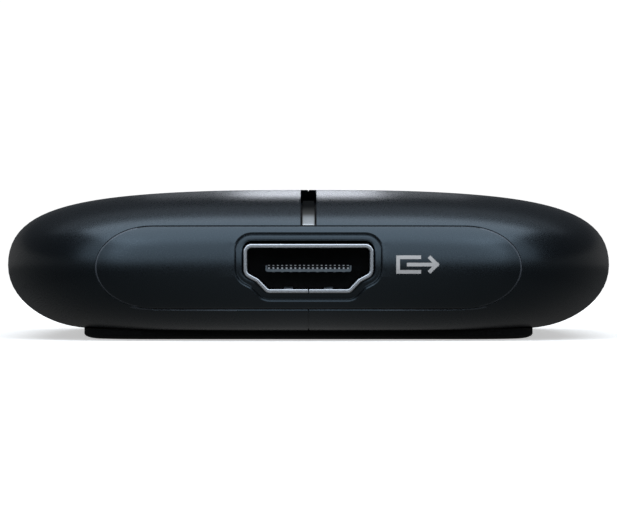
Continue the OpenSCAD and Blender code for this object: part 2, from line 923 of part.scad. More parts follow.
module small_passives() {
    color("#9a8a6c")
        for (side = [-1, 1], i = [0, 1], k = [-2 : 2])
            on_board([side * (passive_x + i * passive_gap), driver_row + k * passive_step], passive_size);
}

module surge_arrays() {
    color("#202124") {
        for (k = [-1, 1])
            on_board([k * surge_step, -surge_row], surge_size);
        for (k = [-1 : 1])
            on_board([video_in_x + k * surge_step, surge_row], surge_size);
    }
}

module status_led() {
    color("#e9e6d8") on_board([0, foot_y], led_size);
}

left_shell();
right_shell();
front_panel();
rear_panel();
light_guide();
base_pad();
main_board();
chassis();
case_screws();
video_out_shell();
video_out_tongue();
video_out_contacts();
video_out_finger_left();
video_out_finger_right();
video_in_shell();
video_in_tongue();
video_in_contacts();
video_in_finger_left();
video_in_finger_right();
data_shell();
data_tongue();
data_contacts();
processor();
thermal_pad();
heatsink();
video_receiver();
shield_frame();
shield_lid();
video_driver();
data_bridge();
memory_chips();
flash_chip();
clock_crystals();
power_inductors();
bulk_capacitors();
small_passives();
surge_arrays();
status_led();
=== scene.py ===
"""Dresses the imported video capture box: casing, end panels, sockets, finishes, stage and camera."""
import bisect
import math

import bmesh
import bpy
from mathutils import Matrix, Vector


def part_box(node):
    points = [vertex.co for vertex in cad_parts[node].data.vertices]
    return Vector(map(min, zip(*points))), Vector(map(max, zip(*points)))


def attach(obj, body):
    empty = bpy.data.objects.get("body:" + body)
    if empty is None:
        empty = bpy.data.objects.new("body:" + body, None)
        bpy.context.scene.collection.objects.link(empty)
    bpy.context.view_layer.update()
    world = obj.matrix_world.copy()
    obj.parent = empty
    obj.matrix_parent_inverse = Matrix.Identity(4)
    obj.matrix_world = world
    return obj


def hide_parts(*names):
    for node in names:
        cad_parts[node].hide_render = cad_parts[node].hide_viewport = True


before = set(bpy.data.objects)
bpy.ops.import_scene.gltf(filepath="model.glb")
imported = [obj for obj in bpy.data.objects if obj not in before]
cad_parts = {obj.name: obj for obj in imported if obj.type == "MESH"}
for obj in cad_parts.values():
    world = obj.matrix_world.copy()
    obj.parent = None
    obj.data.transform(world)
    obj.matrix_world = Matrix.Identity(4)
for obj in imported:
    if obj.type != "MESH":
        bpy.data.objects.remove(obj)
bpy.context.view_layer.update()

bl_info = {
    "name": "Video Capture Box",
    "version": (1, 0, 0),
    "blender": (4, 5, 0),
    "location": "3D View > Sidebar > Capture Box",
    "description": "Builds the looks of a pebble-shaped video capture box around its packed model",
    "category": "Object",
}

MM = 0.001
# How square the plan outline is, where 2 is an ellipse
PLAN_POWER = 4
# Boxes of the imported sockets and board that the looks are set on
OUT_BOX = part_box("video_out_shell")
IN_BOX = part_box("video_in_shell")
DATA_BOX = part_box("data_shell")
BOARD_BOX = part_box("main_board")
# Name and box of each video socket, and whether it is at the rear end
VIDEO_ENDS = (("out", OUT_BOX, False), ("in", IN_BOX, True))
# Width of a solder leg and edge rounding of the contacts
LEG_W, CONTACT_EDGE = 1.2 * MM, 0.03 * MM
# Distance within which two points of a closed sheet count as one
SAME = 0.0001 * MM


def linear(code):
    """Linear red, green and blue of an sRGB hex value."""
    parts = [int(code[k:k + 2], 16) / 255 for k in (1, 3, 5)]
    return tuple(c / 12.92 if c <= 0.04045 else ((c + 0.055) / 1.055) ** 2.4 for c in parts)


def length(label, description, size):
    """Length property whose default is given in millimetres."""
    return bpy.props.FloatProperty(
        name=label, description=description, default=size * MM, unit="LENGTH", precision=5)


def share(label, description, value):
    """Property for a part of a whole."""
    return bpy.props.FloatProperty(
        name=label, description=description, default=value, subtype="FACTOR", min=0, max=1)


def colour(label, description, code):
    """Colour property whose default is given as an sRGB hex value."""
    return bpy.props.FloatVectorProperty(
        name=label, description=description, default=linear(code), size=3, subtype="COLOR", min=0, max=1)


class CasingSizes(bpy.types.PropertyGroup):
    """Sizes of the casing, its slot and its pad."""
    body_w: length("Width", "Width across the widest line", 73.2)
    body_l: length("Length", "Length from end to end", 112)
    belt_z: length("Belt height", "Height of the widest line above the table", 8.65)
    crown_rise: length("Crown rise", "Rise of the crown above the widest line", 9.07)
    sole_drop: length("Sole drop", "Depth of the underside below the widest line", 7.95)
    sole_half_w: length("Sole half width", "Half width of the nearly flat underside", 27.8)
    sole_sag: length("Sole sag", "Rise of the underside from its middle to its edge", 0.46)
    crown_run: share("Crown run", "Share of the half width that stays near the crown height", 0.72)
    side_run: share("Side run", "Share of the crown rise that stays near the full width", 0.86)
    skirt_run: share("Skirt run", "Share of the underside depth that stays near the full width", 0.59)
    wall: length("Wall", "Wall thickness of the mouldings", 1.6)
    seam: length("Seam", "Gap between the two casing halves", 0.1)
    edge: length("Edge rounding", "Rounding of the moulded edges along the seams", 0.13)
    slot_w: length("Slot width", "Width of the slot in the crown", 1.8)
    slot_l: length("Slot length", "Distance from the front end to the slot's end wall", 25)
    guide_w: length("Guide width", "Width of the light guide's rib", 1.4)
    guide_sink: length("Guide depth", "Depth of the light guide below the casing surface", 1.3)
    guide_h: length("Guide height", "Height of the light guide's rib", 1.9)
    guide_gap: length("Guide gap", "Gap round the light guide", 0.1)
    pad_w: length("Pad width", "Width of the rubber pad", 52.9)
    pad_l: length("Pad length", "Length of the rubber pad", 88)
    pad_t: length("Pad thickness", "Thickness of the rubber pad", 1.25)
    pad_corner: length("Pad corner", "Corner radius of the rubber pad", 8.4)
    pad_edge: length("Pad edge", "Height of the rounding at the rubber pad's foot", 0.6)
    pad_foot: length("Pad foot", "Width of the rounding at the rubber pad's foot", 1.7)


class PanelSizes(bpy.types.PropertyGroup):
    """Sizes of the two end panels."""
    straight: length("Straight", "Length of the straight part of the long edges", 35.7)
    end: length("End reach", "Reach of each rounded end", 6.5)
    height: length("Height", "Panel height", 9.46)
    drop: length("Drop", "Drop of the panel's middle below the widest line", 0.27)
    thick: length("Thickness", "Panel thickness", 2.2)
    recess_w: length("Recess width", "Width of the recess round a socket", 0.77)
    recess: length("Recess depth", "Depth of the recess round a socket", 0.42)
    recess_lift: length("Recess lift", "Extra width of the recess above a video socket", 0.1)
    socket_gap: length("Socket gap", "Gap round a socket in its opening", 0.24)
    brow: length("Outer bevel", "Width of the bevel of the panel's outer edge", 0.16)
    recess_rise: length("Recess rise", "Rise of the recess's middle above a video socket's", 0.12)
    edge: length("Recess edge", "Bevel of the recess edge", 0.2)
    cove: length("Recess cove", "Hollow rounding at the foot of the recess wall", 0.26)
    bead: length("Opening edge", "Bevel of the edge of a socket's opening", 0.24)
    bead_slope: share("Opening slope", "Depth of the opening's bevel as a share of its width", 0.7)


class SocketSizes(bpy.types.PropertyGroup):
    """Sizes of the video sockets and the data socket."""
    video_w: length("Video width", "Clear width of a video mouth", 13.9)
    video_h: length("Video height", "Clear height of a video mouth", 4.68)
    video_flat: length("Video flat", "Width of the flat at the foot of the D shape", 9.1)
    slope_w: length("Slope width", "Width of each sloping corner", 1.1)
    slope_h: length("Slope height", "Height of each sloping corner", 1.15)
    side_h: length("Side height", "Height of the foot of the upright sides", 1.85)
    sheet: length("Sheet", "Thickness of the sheet metal", 0.35)
    rim: length("Rim", "Thickness of the sheet metal with its plated rim", 0.44)
    video_l: length("Video length", "Length of a video socket", 11.5)
    lip: length("Lip rounding", "Rounding of the rim of the sheet metal", 0.12)
    tongue_w: length("Tongue width", "Width of the tongue", 9.85)
    tongue_t: length("Tongue thickness", "Thickness of the tongue", 0.77)
    tongue_set: length("Tongue depth", "Distance from the mouth to the tongue", 2.75)
    block_l: length("Block length", "Length of the block behind the tongue", 3)
    contact_pitch: length("Contact pitch", "Spacing of the contacts across both rows", 0.5)
    contact_w: length("Contact width", "Width of one contact strip", 0.3)
    contact_t: length("Contact thickness", "Thickness of one contact strip", 0.12)
    finger_x: length("Finger place", "Distance of a spring finger from the middle", 2.28)
    finger_set: length("Finger start", "Distance from the tongue's nose back to a finger's free end", 0.1)
    finger_w: length("Finger width", "Width of a spring finger", 1)
    finger_l: length("Finger length", "Length of a spring finger", 4.4)
    finger_t: length("Finger thickness", "Thickness of a spring finger", 0.2)
    finger_gap: length("Finger gap", "Gap round a spring finger in its window", 0.15)
    finger_rise: length("Finger crest", "Rise of the crest above the flat of the finger", 0.335)
    data_w: length("Data width", "Clear width of the data mouth", 8.34)
    data_h: length("Data height", "Clear height of the data mouth", 2.56)
    data_sheet: length("Data sheet", "Thickness of the data socket's metal", 0.3)
    data_l: length("Data length", "Length of the data socket", 10)
    data_tongue_w: length("Data tongue width", "Width of the data socket's tongue", 6.7)
    data_tongue_t: length("Data tongue thickness", "Thickness of the data socket's tongue", 0.5)
    data_tongue_set: length("Data tongue depth", "Distance from the data mouth to its tongue", 1)


class FinishColours(bpy.types.PropertyGroup):
    """Colours of the finishes."""
    plastic: colour("Plastic", "Black moulded plastic of the casing", "#08090b")
    gloss: colour("Gloss", "Cool sheen of the black plastic", "#d6efff")
    # Paler colour painted on the edges round the end openings as a painted highlight
    rubbed: colour("Rubbed edge", "Paler rubbed edges of the panels and their openings", "#4a4c50")
    # The light guide's colour also colours its painted glow
    guide: colour("Light guide", "Silver coat of the light guide", "#d4dade")
    rubber: colour("Rubber", "Pad under the casing", "#0b0b0c")
    nickel: colour("Nickel", "Plating of the sockets", "#ced3d8")
    tongue: colour("Socket block", "Filled nylon of the blocks in the sockets", "#060607")
    plate: colour("Tongue", "Filled nylon of the tongues", "#6c757a")
    tin: colour("Tin", "Plating of the contacts", "#d3d6d8")
    ink: colour("Ink", "Printed mark", "#d1cdc9")
    solder_mask: colour("Solder mask", "Lacquer of the board", "#153525")
    epoxy: colour("Epoxy", "Moulded chip bodies", "#1b1c1e")
    frame_plastic: colour("Inner frame", "Moulded frame inside the casing", "#26282c")
    floor: colour("Floor", "Pale sweep under the box", "#eeeae4")


class CasingForm:
    """Outer surface of the casing: one squared plan outline stacked along a curved profile."""
    # Points along each curve of the profile
    steps = 240
    # Share of the skirt's inward run that eases into the underside, and the slope of that part
    ease_share, ease_slope = 0.4, 0.04

    def __init__(self, sizes, depth=0):
        self.half_w = sizes.body_w / 2 - depth
        self.stretch = (sizes.body_l - sizes.body_w) / 2
        self.belt = sizes.belt_z
        rise, drop = sizes.crown_rise - depth, sizes.sole_drop - depth
        sole, sag = sizes.sole_half_w - depth, sizes.sole_sag
        ease = self.ease_share * (self.half_w - sole)
        self.crown = [(0, rise), (sizes.crown_run * self.half_w, rise),
                      (self.half_w, sizes.side_run * rise), (self.half_w, 0)]
        skirt = [(self.half_w, 0), (self.half_w, -sizes.skirt_run * drop),
                 (sole + ease, sag - drop + self.ease_slope * ease), (sole, sag - drop)]
        shares = [k / self.steps for k in range(self.steps + 1)]
        self.upper = [self.lifted(bezier(self.crown, t)) for t in shares]
        self.lower = [self.lifted(bezier(skirt, t)) for t in shares]
        self.lower += [self.lifted((sole * (1 - t), sag * (1 - t) ** 2 - drop)) for t in shares[1:]]
        profile = (self.upper + self.lower[1:])[::-1]
        self.widths = [p[0] for p in profile]
        self.heights = [p[1] for p in profile]

    def lifted(self, point):
        """Profile point with its height measured from the table."""
        return point[0], self.belt + point[1]

    def half_width(self, z):
        """Half width of the casing at height z."""
        k = min(max(bisect.bisect_left(self.heights, z), 1), len(self.heights) - 1)
        low, high = self.heights[k - 1], self.heights[k]
        part = (z - low) / (high - low)
        return self.widths[k - 1] + (self.widths[k] - self.widths[k - 1]) * min(max(part, 0), 1)

    def holds(self, x, y, z):
        """Whether a point is inside the casing."""
        w = self.half_width(z)
        if w <= 0:
            return False
        return (abs(x) / w) ** PLAN_POWER + (abs(y) / (self.stretch + w)) ** PLAN_POWER <= 1

    def front(self, x, z):
        """Depth of the front surface at a place seen from the front."""
        w = self.half_width(z)
        left = max(0, 1 - (abs(x) / w) ** PLAN_POWER)
        return -(self.stretch + w) * left ** (1 / PLAN_POWER)

    def crossing(self, inner, outer, y):
        """Place between two points, seen from the front, where the surface is met at depth y."""
        def held(part):
            x, z = mixed(inner, outer, part)
            return self.holds(x, y, z)

        x, z = mixed(inner, outer, last_share(held))
        return Vector((x, y, z))

    def crown_point(self, t):
        """Depth and height of the lengthwise middle line of the crown, towards the front."""
        w, z = bezier(self.crown, t)
        return -self.stretch - w, self.belt + z


def last_share(test, halvings=36):
    """Share between 0 and 1 up to which a test holds, found by halving."""
    low, high = 0, 1
    for _ in range(halvings):
        part = (low + high) / 2
        low, high = (part, high) if test(part) else (low, part)
    return low


def bezier(points, t):
    """Point of a cubic curve in the plane."""
    u = 1 - t
    parts = (u ** 3, 3 * u * u * t, 3 * u * t * t, t ** 3)
    return tuple(sum(c * p[k] for c, p in zip(parts, points)) for k in (0, 1))


def mixed(a, b, part):
    """Point between two points of the plane."""
    return a[0] + (b[0] - a[0]) * part, a[1] + (b[1] - a[1]) * part


def walked(points, part):
    """Point at a share of the length of a line of points."""
    spans = [math.dist(a, b) for a, b in zip(points, points[1:])]
    left = sum(spans) * part
    for a, b, span in zip(points, points[1:], spans):
        if left <= span and span > 0:
            return mixed(a, b, left / span)
        left -= span
    return points[-1]


def stepped(points, spacing):
    """Open line of points with its long stretches cut into short ones."""
    cut = []
    for a, b in zip(points, points[1:]):
        count = max(1, round(math.dist(a, b) / spacing))
        cut += [mixed(a, b, k / count) for k in range(count)]
    return cut + points[-1:]


def divided(points, spacing, straight):
    """Closed outline whose long stretches are cut into as many parts as a straight one needs."""
    cut = []
    for a, b in zip(points, points[1:] + points[:1]):
        count = round(straight / spacing) if math.dist(a, b) > 2 * spacing else 1
        cut += [mixed(a, b, k / count) for k in range(count)]
    return cut


def bends(points):
    """Each corner of a closed polygon with the directions of the edges before and after it."""
    for k, here in enumerate(points):
        a, b, c = Vector(points[k - 1]), Vector(here), Vector(points[(k + 1) % len(points)])
        yield b, (b - a).normalized(), (c - b).normalized()


def grown(points, gap):
    """Counter-clockwise polygon moved outwards with sharp corners."""
    moved = []
    for corner, u, v in bends(points):
        m, n = Vector((u.y, -u.x)), Vector((v.y, -v.x))
        moved.append(tuple(corner + gap * (m + n) / (1 + m.dot(n))))
    return moved


def rounded(points, radii, steps=8):
    """Polygon with each corner rounded to its own radius."""
    line = []
    for (corner, u, v), radius in zip(bends(points), radii):
        turn = math.atan2(u.x * v.y - u.y * v.x, u.dot(v))
        start = corner - u * radius * math.tan(abs(turn) / 2)
        middle = start + math.copysign(radius, turn) * Vector((-u.y, u.x))
        for j in range(steps + 1):
            line.append(tuple(middle + Matrix.Rotation(turn * j / steps, 2) @ (start - middle)))
    return line


def mouth(k, gap, lift=0):
    """D-shaped outline of a video socket in X and Z, grown by gap, with its top raised by lift."""
    w, h, f = k.video_w / 2, k.video_h / 2, k.video_flat / 2
    e, low, side, top_z = f + k.slope_w, k.slope_h - h, k.side_h - h, h + lift
    corners = [(-f, -h), (f, -h), (e, low), (w, side), (w, top_z), (-w, top_z), (-w, side), (-e, low)]
    foot, bend, flank, top = 0.4 * MM + gap, max(0.8 * MM - gap, 0.3 * MM), 0.6 * MM + gap, 0.5 * MM + gap
    return rounded(grown(corners, gap), [foot, foot, bend, flank, top, top, flank, bend])


def stadium(w, h, gap, steps=24):
    """Round-ended outline of clear size w by h, grown by gap, counter-clockwise from the foot."""
    straight, radius = (w - h) / 2, h / 2 + gap
    line = []
    for side in (1, -1):
        for k in range(steps + 1):
            g = math.pi * (k / steps - 0.5) + (0 if side > 0 else math.pi)
            line.append((side * straight + radius * math.cos(g), radius * math.sin(g)))
    return line


def panel_line(p, gap, side, steps=48):
    """Rounded end of the panel's outline on one side, counter-clockwise, about the panel's middle."""
    w, h = p.end + gap, p.height / 2 + gap
    turns = [math.pi * (k / steps - 0.5) for k in range(steps + 1)]
    return [(side * (p.straight / 2 + w * math.cos(g)), side * h * math.sin(g)) for g in turns]


def reach(place, s, p):
    """Share of the way from a panel's middle line to its edge at a place, and the line's nearest point."""
    foot = max(-p.straight / 2, min(p.straight / 2, place.x)), s.belt_z - p.drop
    return math.hypot((place.x - foot[0]) / p.end, (place.z - foot[1]) / (p.height / 2)), foot


def met(outline, centre, towards):
    """Where the ray from a centre towards a point crosses a closed outline."""
    ray = Vector(towards) - Vector(centre)
    for a, b in zip(outline, outline[1:] + outline[:1]):
        p, q = Vector(a) - Vector(centre), Vector(b) - Vector(centre)
        s, t = ray.x * p.y - ray.y * p.x, ray.x * q.y - ray.y * q.x
        if s <= 0 < t:
            hit = p + (q - p) * (s / (s - t))
            if hit.dot(ray) > 0:
                return centre[0] + hit.x, centre[1] + hit.y
    raise ValueError("the ray misses the outline")


def sheet(bm, across, along, place, away=None):
    """Grid whose corners go to place(i, j), facing away from a point where one is given."""
    verts = bmesh.ops.create_grid(bm, x_segments=across, y_segments=along, size=1)["verts"]
    for k, v in enumerate(verts):
        v.co = place(k % (across + 1), k // (across + 1))
    faces = list({f for v in verts for f in v.link_faces})
    if away is not None:
        bm.normal_update()
        lean = sum((f.calc_center_median() - Vector(away)).dot(f.normal) * f.calc_area() for f in faces)
        if lean < 0:
            bmesh.ops.reverse_faces(bm, faces=faces)
    return faces


def ring(bm, loops):
    """Closed ring-shaped solid through a series of loops with equal numbers of points."""
    faces = sheet(bm, len(loops[0]), len(loops),
                  lambda i, j: loops[j % len(loops)][i % len(loops[0])])
    bmesh.ops.remove_doubles(bm, verts=list({v for f in faces for v in f.verts}), dist=SAME)


def prism(bm, outline, shift):
    """Solid made by moving a flat outline along a straight line."""
    verts = bmesh.ops.create_circle(bm, cap_ends=True, segments=len(outline), radius=1)["verts"]
    for v, point in zip(verts, outline):
        v.co = point
    pulled = bmesh.ops.extrude_face_region(bm, geom=list(verts[0].link_faces))["geom"]
    ends = [g for g in pulled if isinstance(g, bmesh.types.BMVert)]
    bmesh.ops.translate(bm, verts=ends, vec=shift)
    faces = list({f for v in verts + ends for f in v.link_faces})
    bmesh.ops.recalc_face_normals(bm, faces=faces)
    return faces


def block(bm, low, high):
    """Square-edged solid between two corners."""
    base = [(low[0], low[1], low[2]), (high[0], low[1], low[2]),
            (high[0], high[1], low[2]), (low[0], high[1], low[2])]
    return prism(bm, base, (0, 0, high[2] - low[2]))


def circle(x, y, z, radius, steps=48):
    """Level loop of points."""
    turns = [2 * math.pi * k / steps for k in range(steps)]
    return [Vector((x + radius * math.cos(g), y + radius * math.sin(g), z)) for g in turns]


def piece(name, bm, kinds, slot, body="casing", edge=0, weighted=False, crease=32):
    """Makes an object of a mesh, gives it its kinds of finish, rounds its edges and rides it on its body."""
    mesh = bpy.data.meshes.new(name)
    bm.to_mesh(mesh)
    bm.free()
    mesh.shade_smooth()
    for kind in kinds:
        mesh.materials.append(finish(kind))
    obj = bpy.data.objects.new(name, mesh)
    bpy.context.scene.collection.objects.link(obj)
    if edge:
        rounding = obj.modifiers.new("edge rounding", "BEVEL")
        rounding.width = edge
        rounding.segments = 3
        rounding.profile = 0.5
        rounding.limit_method = "WEIGHT" if weighted else "ANGLE"
        rounding.angle_limit = math.radians(crease)
        rounding.use_clamp_overlap = False
        rounding.harden_normals = True
    else:
        mesh.set_sharp_from_angle(angle=math.radians(crease))
    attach(obj, body)
    return obj


def feed(tree, node, inputs):
    """Sets inputs of a shader node, or links those whose value is a socket."""
    for key, value in inputs.items():
        if isinstance(value, bpy.types.NodeSocket):
            tree.links.new(value, node.inputs[key])
        else:
            node.inputs[key].default_value = value


def add(tree, kind, inputs=None, **settings):
    """Adds a shader node with its settings and inputs."""
    node = tree.nodes.new("ShaderNode" + kind)
    for key, value in settings.items():
        setattr(node, key, value)
    feed(tree, node, inputs or {})
    return node


def started(name):
    """New material with its shader and the object coordinates that its patterns read."""
    material = bpy.data.materials.new(name)
    material.use_nodes = True
    tree = material.node_tree
    tree.nodes.clear()
    shader = add(tree, "BsdfPrincipled")
    add(tree, "OutputMaterial", {"Surface": shader.outputs["BSDF"]})
    return material, tree, shader, add(tree, "TexCoord").outputs["Object"]


def maths(tree, operation, *values):
    """Result of one operation on numbers or the sockets that give them."""
    return add(tree, "Math", dict(enumerate(values)), operation=operation).outputs[0]


def ramp(tree, value, start, stop, low, high, shape="LINEAR"):
    """Carries a value over from the range start to stop to the range low to high."""
    inputs = {"Value": value, "From Min": start, "From Max": stop, "To Min": low, "To Max": high}
    return add(tree, "MapRange", inputs, interpolation_type=shape).outputs["Result"]


def grain(tree, place, size, detail=2):
    """Noise whose lumps are about size across."""
    return add(tree, "TexNoise", {"Vector": place, "Scale": 1 / size, "Detail": detail}).outputs["Fac"]


def spread(tree, value, low, high):
    """Stretches a pattern from 0.3 to 0.7 over a new range."""
    return ramp(tree, value, 0.3, 0.7, low, high)


def blended(tree, part, first, second):
    """Mixture of two colours, which are inputs 6 and 7 of the node."""
    return add(tree, "Mix", {0: part, 6: first, 7: second}, data_type="RGBA").outputs[2]


def tinted(tree, value, rgb, dark, light):
    """Colour that swings between a darker and a lighter shade of rgb with a pattern."""
    return blended(tree, value, shade(rgb, dark), shade(rgb, light))


def shade(rgb, factor):
    """Colour made lighter or darker, with full alpha."""
    return tuple(min(1, c * factor) for c in rgb) + (1,)


def bumped(tree, height, strength, distance):
    """Surface normal raised by a pattern."""
    return add(tree, "Bump", {"Height": height, "Strength": strength, "Distance": distance}).outputs["Normal"]


def moulded_plastic(name, rgb, gloss, roughness, grit):
    """Moulded ABS with spark-eroded grain: dark satin face that sparkles faintly in a grazing light."""
    material, tree, shader, place = started(name)
    # The real grain is near 0.08 mm and is drawn coarser so that it shows
    fine = grain(tree, place, grit * MM, 3)
    cloud = grain(tree, place, 9 * MM)
    feed(tree, shader, {
        "Base Color": tinted(tree, cloud, rgb, 0.9, 1.1),
        "Roughness": spread(tree, fine, roughness - 0.05, roughness + 0.06),
        "Specular IOR Level": 0.8,
        "Specular Tint": shade(gloss, 1),
        "Normal": bumped(tree, fine, 0.12, 0.02 * MM)})
    return material


def guide_with_painted_shade_and_glow(rgb):
    """Polished acrylic light guide, silvered towards its front end: a half-mirror that fades into painted
    shade towards the rear, with a painted glow that fades the same way.
    """
    # Depths over which the silver fades into painted shade towards the rear, and over which the painted glow
    # fades
    painted_shade_span, fade = (-52.5 * MM, -48.5 * MM), (-52.2 * MM, -44 * MM)
    # What is left of the painted glow at the far end before it is sharpened, how sharply it fades and its
    # strength
    rest, sharpness, strength = 0.2, 2.5, 0.25
    material, tree, shader, place = started("acrylic light guide with painted shade and glow")
    along = add(tree, "SeparateXYZ", {0: place}).outputs["Y"]
    # Painted shade: the coat turns from silver to near black towards the rear, where the slot shades the
    # guide
    coat = ramp(tree, along, *painted_shade_span, 1, 0, "SMOOTHSTEP")
    # Painted glow: the guide emits light, brighter towards its front end, though it is no lamp
    lit = maths(tree, "POWER", ramp(tree, along, *fade, 1, rest), sharpness)
    feed(tree, shader, {
        "Base Color": tinted(tree, coat, rgb, 0.01, 1.0),
        "Metallic": coat,
        "Roughness": spread(tree, grain(tree, place, 0.6 * MM), 0.18, 0.22),
        "Specular IOR Level": 0.0,
        "Emission Color": shade(rgb, 1),
        "Emission Strength": maths(tree, "MULTIPLY", lit, strength)})
    return material


def plated_metal(name, rgb, roughness, run):
    """Drawn and plated sheet metal: bright, with faint draw lines along the socket and small dull clouds."""
    material, tree, shader, place = started(name)
    lines = add(tree, "Mapping", {"Vector": place, "Scale": run}).outputs["Vector"]
    streak = grain(tree, lines, 0.12 * MM)
    cloud = grain(tree, place, 1.5 * MM)
    feed(tree, shader, {
        "Base Color": tinted(tree, cloud, rgb, 0.94, 1.04),
        "Metallic": 1.0,
        "Roughness": spread(tree, streak, roughness - 0.02, roughness + 0.03),
        "Normal": bumped(tree, streak, 0.02, 0.01 * MM)})
    return material


def moulded_rubber(rgb):
    """Compression-moulded silicone rubber: dead black and matt, with a fine dusty bloom."""
    material, tree, shader, place = started("moulded silicone rubber")
    fine = grain(tree, place, 0.25 * MM, 4)
    feed(tree, shader, {
        "Base Color": tinted(tree, grain(tree, place, 5 * MM), rgb, 0.85, 1.2),
        "Roughness": spread(tree, fine, 0.68, 0.82),
        "Specular IOR Level": 0.3,
        "Normal": bumped(tree, fine, 0.25, 0.03 * MM)})
    return material


def filled_nylon(name, rgb, roughness, level):
    """Glass-filled nylon moulding: dull, with short pale flecks of fibre at the surface."""
    material, tree, shader, place = started(name)
    fibres = add(tree, "Mapping", {"Vector": place, "Scale": (1, 4, 1)}).outputs["Vector"]
    fleck = grain(tree, fibres, 0.2 * MM, 3)
    feed(tree, shader, {
        "Base Color": tinted(tree, fleck, rgb, 0.85, 1.2),
        "Roughness": spread(tree, fleck, roughness - 0.06, roughness + 0.08),
        "Specular IOR Level": level,
        "Normal": bumped(tree, fleck, 0.15, 0.02 * MM)})
    return material


def printed_ink(rgb):
    """Pad-printed ink: thin, flat grey film with a slightly uneven cover."""
    material, tree, shader, place = started("pad-printed grey ink")
    cover = grain(tree, place, 0.15 * MM, 3)
    feed(tree, shader, {
        "Base Color": tinted(tree, cover, rgb, 0.9, 1.05),
        "Roughness": spread(tree, cover, 0.5, 0.62)})
    return material


def glass_laminate(rgb):
    """Lacquered glass-fibre laminate: green gloss with the weave showing faintly through the mask."""
    material, tree, shader, place = started("lacquered glass laminate")
    warp, weft = (add(tree, "TexWave", {"Vector": place, "Scale": 1 / (2.4 * MM), "Distortion": 0.4},
                      bands_direction=way).outputs["Fac"] for way in "XY")
    weave = maths(tree, "MULTIPLY", warp, weft)
    feed(tree, shader, {
        "Base Color": tinted(tree, weave, rgb, 0.9, 1.25),
        "Roughness": spread(tree, weave, 0.28, 0.36),
        "Normal": bumped(tree, weave, 0.08, 0.02 * MM)})
    return material


def cast_finish(name, rgb, roughness, metallic, lump):
    """Cast, sintered or moulded small parts: an even body with a fine lumpy skin."""
    material, tree, shader, place = started(name)
    skin = grain(tree, place, lump * MM, 3)
    feed(tree, shader, {
        "Base Color": tinted(tree, skin, rgb, 0.88, 1.12),
        "Metallic": metallic,
        "Roughness": spread(tree, skin, roughness - 0.06, roughness + 0.08),
        "Normal": bumped(tree, skin, 0.1, 0.02 * MM)})
    return material


def finishes():
    """Maker of each kind of finish, with the name, the colours and the measures that it asks for."""
    c = bpy.context.scene.box_colours
    return {
        "casing": (moulded_plastic, "satin black moulded plastic", c.plastic, c.gloss, 0.29, 0.16),
        "panel": (moulded_plastic, "satin black panel plastic", c.plastic, c.gloss, 0.3, 0.14),
        # The paler edge finish is a painted highlight, not wear
        "painted_edge_highlight": (moulded_plastic, "rubbed edge of the panel plastic", c.rubbed, c.gloss, 0.4, 0.14),
        "guide": (guide_with_painted_shade_and_glow, c.guide),
        # Black painted shade for the light guide's clear flange and foot
        "mask": (cast_finish, "black masking lacquer", linear("#050506"), 0.8, 0, 0.2),
        "pad": (moulded_rubber, c.rubber),
        "socket_metal": (plated_metal, "nickel-plated sheet steel", c.nickel, 0.24, (1, 0.08, 1)),
        "spring": (plated_metal, "nickel-plated spring bronze", c.nickel, 0.3, (1, 0.08, 1)),
        "contact": (plated_metal, "tin-plated contact bronze", c.tin, 0.3, (1, 0.1, 1)),
        "insulator": (filled_nylon, "black glass-filled nylon", c.tongue, 0.6, 0.2),
        "plate": (filled_nylon, "slate glass-filled nylon", c.plate, 0.4, 0.5),
        "frame": (filled_nylon, "grey glass-filled nylon", c.frame_plastic, 0.55, 0.5),
        "board": (glass_laminate, c.solder_mask),
        "ink": (printed_ink, c.ink),
        "chip": (cast_finish, "moulded chip epoxy", c.epoxy, 0.6, 0, 0.2),
        "thermal": (cast_finish, "soft thermal silicone", linear("#8fa0ae"), 0.8, 0, 0.4),
        "sink": (cast_finish, "anodised cast aluminium", linear("#a9adb1"), 0.42, 1, 0.3),
        "shield": (plated_metal, "tinned shield steel", linear("#c3c7cb"), 0.32, (0.1, 1, 1)),
        "screw": (plated_metal, "zinc-plated screw steel", linear("#8d9094"), 0.35, (1, 1, 0.2)),
        "crystal": (plated_metal, "pressed crystal can", linear("#b9bcc0"), 0.3, (1, 0.2, 1)),
        "inductor": (cast_finish, "sintered ferrite", linear("#3b3d40"), 0.6, 0, 0.15),
        "capacitor": (cast_finish, "pressed aluminium can", linear("#a4a8ac"), 0.35, 1, 0.25),
        "passive": (cast_finish, "fired ceramic", linear("#9a8a6c"), 0.5, 0, 0.1),
        "led": (cast_finish, "moulded lamp resin", linear("#e9e6d8"), 0.3, 0, 0.3),
    }


MADE = {}


def finish(kind):
    """Finish of a kind, made the first time that it is asked for."""
    if kind not in MADE:
        make, *measures = finishes()[kind]
        MADE[kind] = make(*measures)
    return MADE[kind]


def seated(bm, box, height, rear):
    """Moves a socket drawn with its mouth at the origin into the panel at its end of the box."""
    if rear:
        bmesh.ops.rotate(bm, verts=bm.verts[:], matrix=Matrix.Rotation(math.pi, 3, "Z"))
    middle, end = (box[0][0] + box[1][0]) / 2, box[1 if rear else 0][1]
    bmesh.ops.translate(bm, verts=bm.verts[:], vec=(middle, end, height))


def socket(name, box, height, rear, parts):
    """Makes the pieces of a socket, each from its shape, its kinds of finish and its edge rounding."""
    for part, shape, kinds, edge in parts:
        bm = bmesh.new()
        shape(bm, bpy.context.scene.box_sockets)
        seated(bm, box, height, rear)
        obj = piece(f"{name}_{part}_skin", bm, kinds, kinds[0], edge=edge)
        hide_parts(f"{name}_{part}")


def legs(bm, aside, low, places):
    """Pairs of solder legs that run down from the sides of a shell."""
    for side in (-1, 1):
        for y in places:
            sheet(bm, 1, 1, lambda i, j: Vector((side * aside, y + (i - 0.5) * LEG_W, j * low)), (0, y, 0))


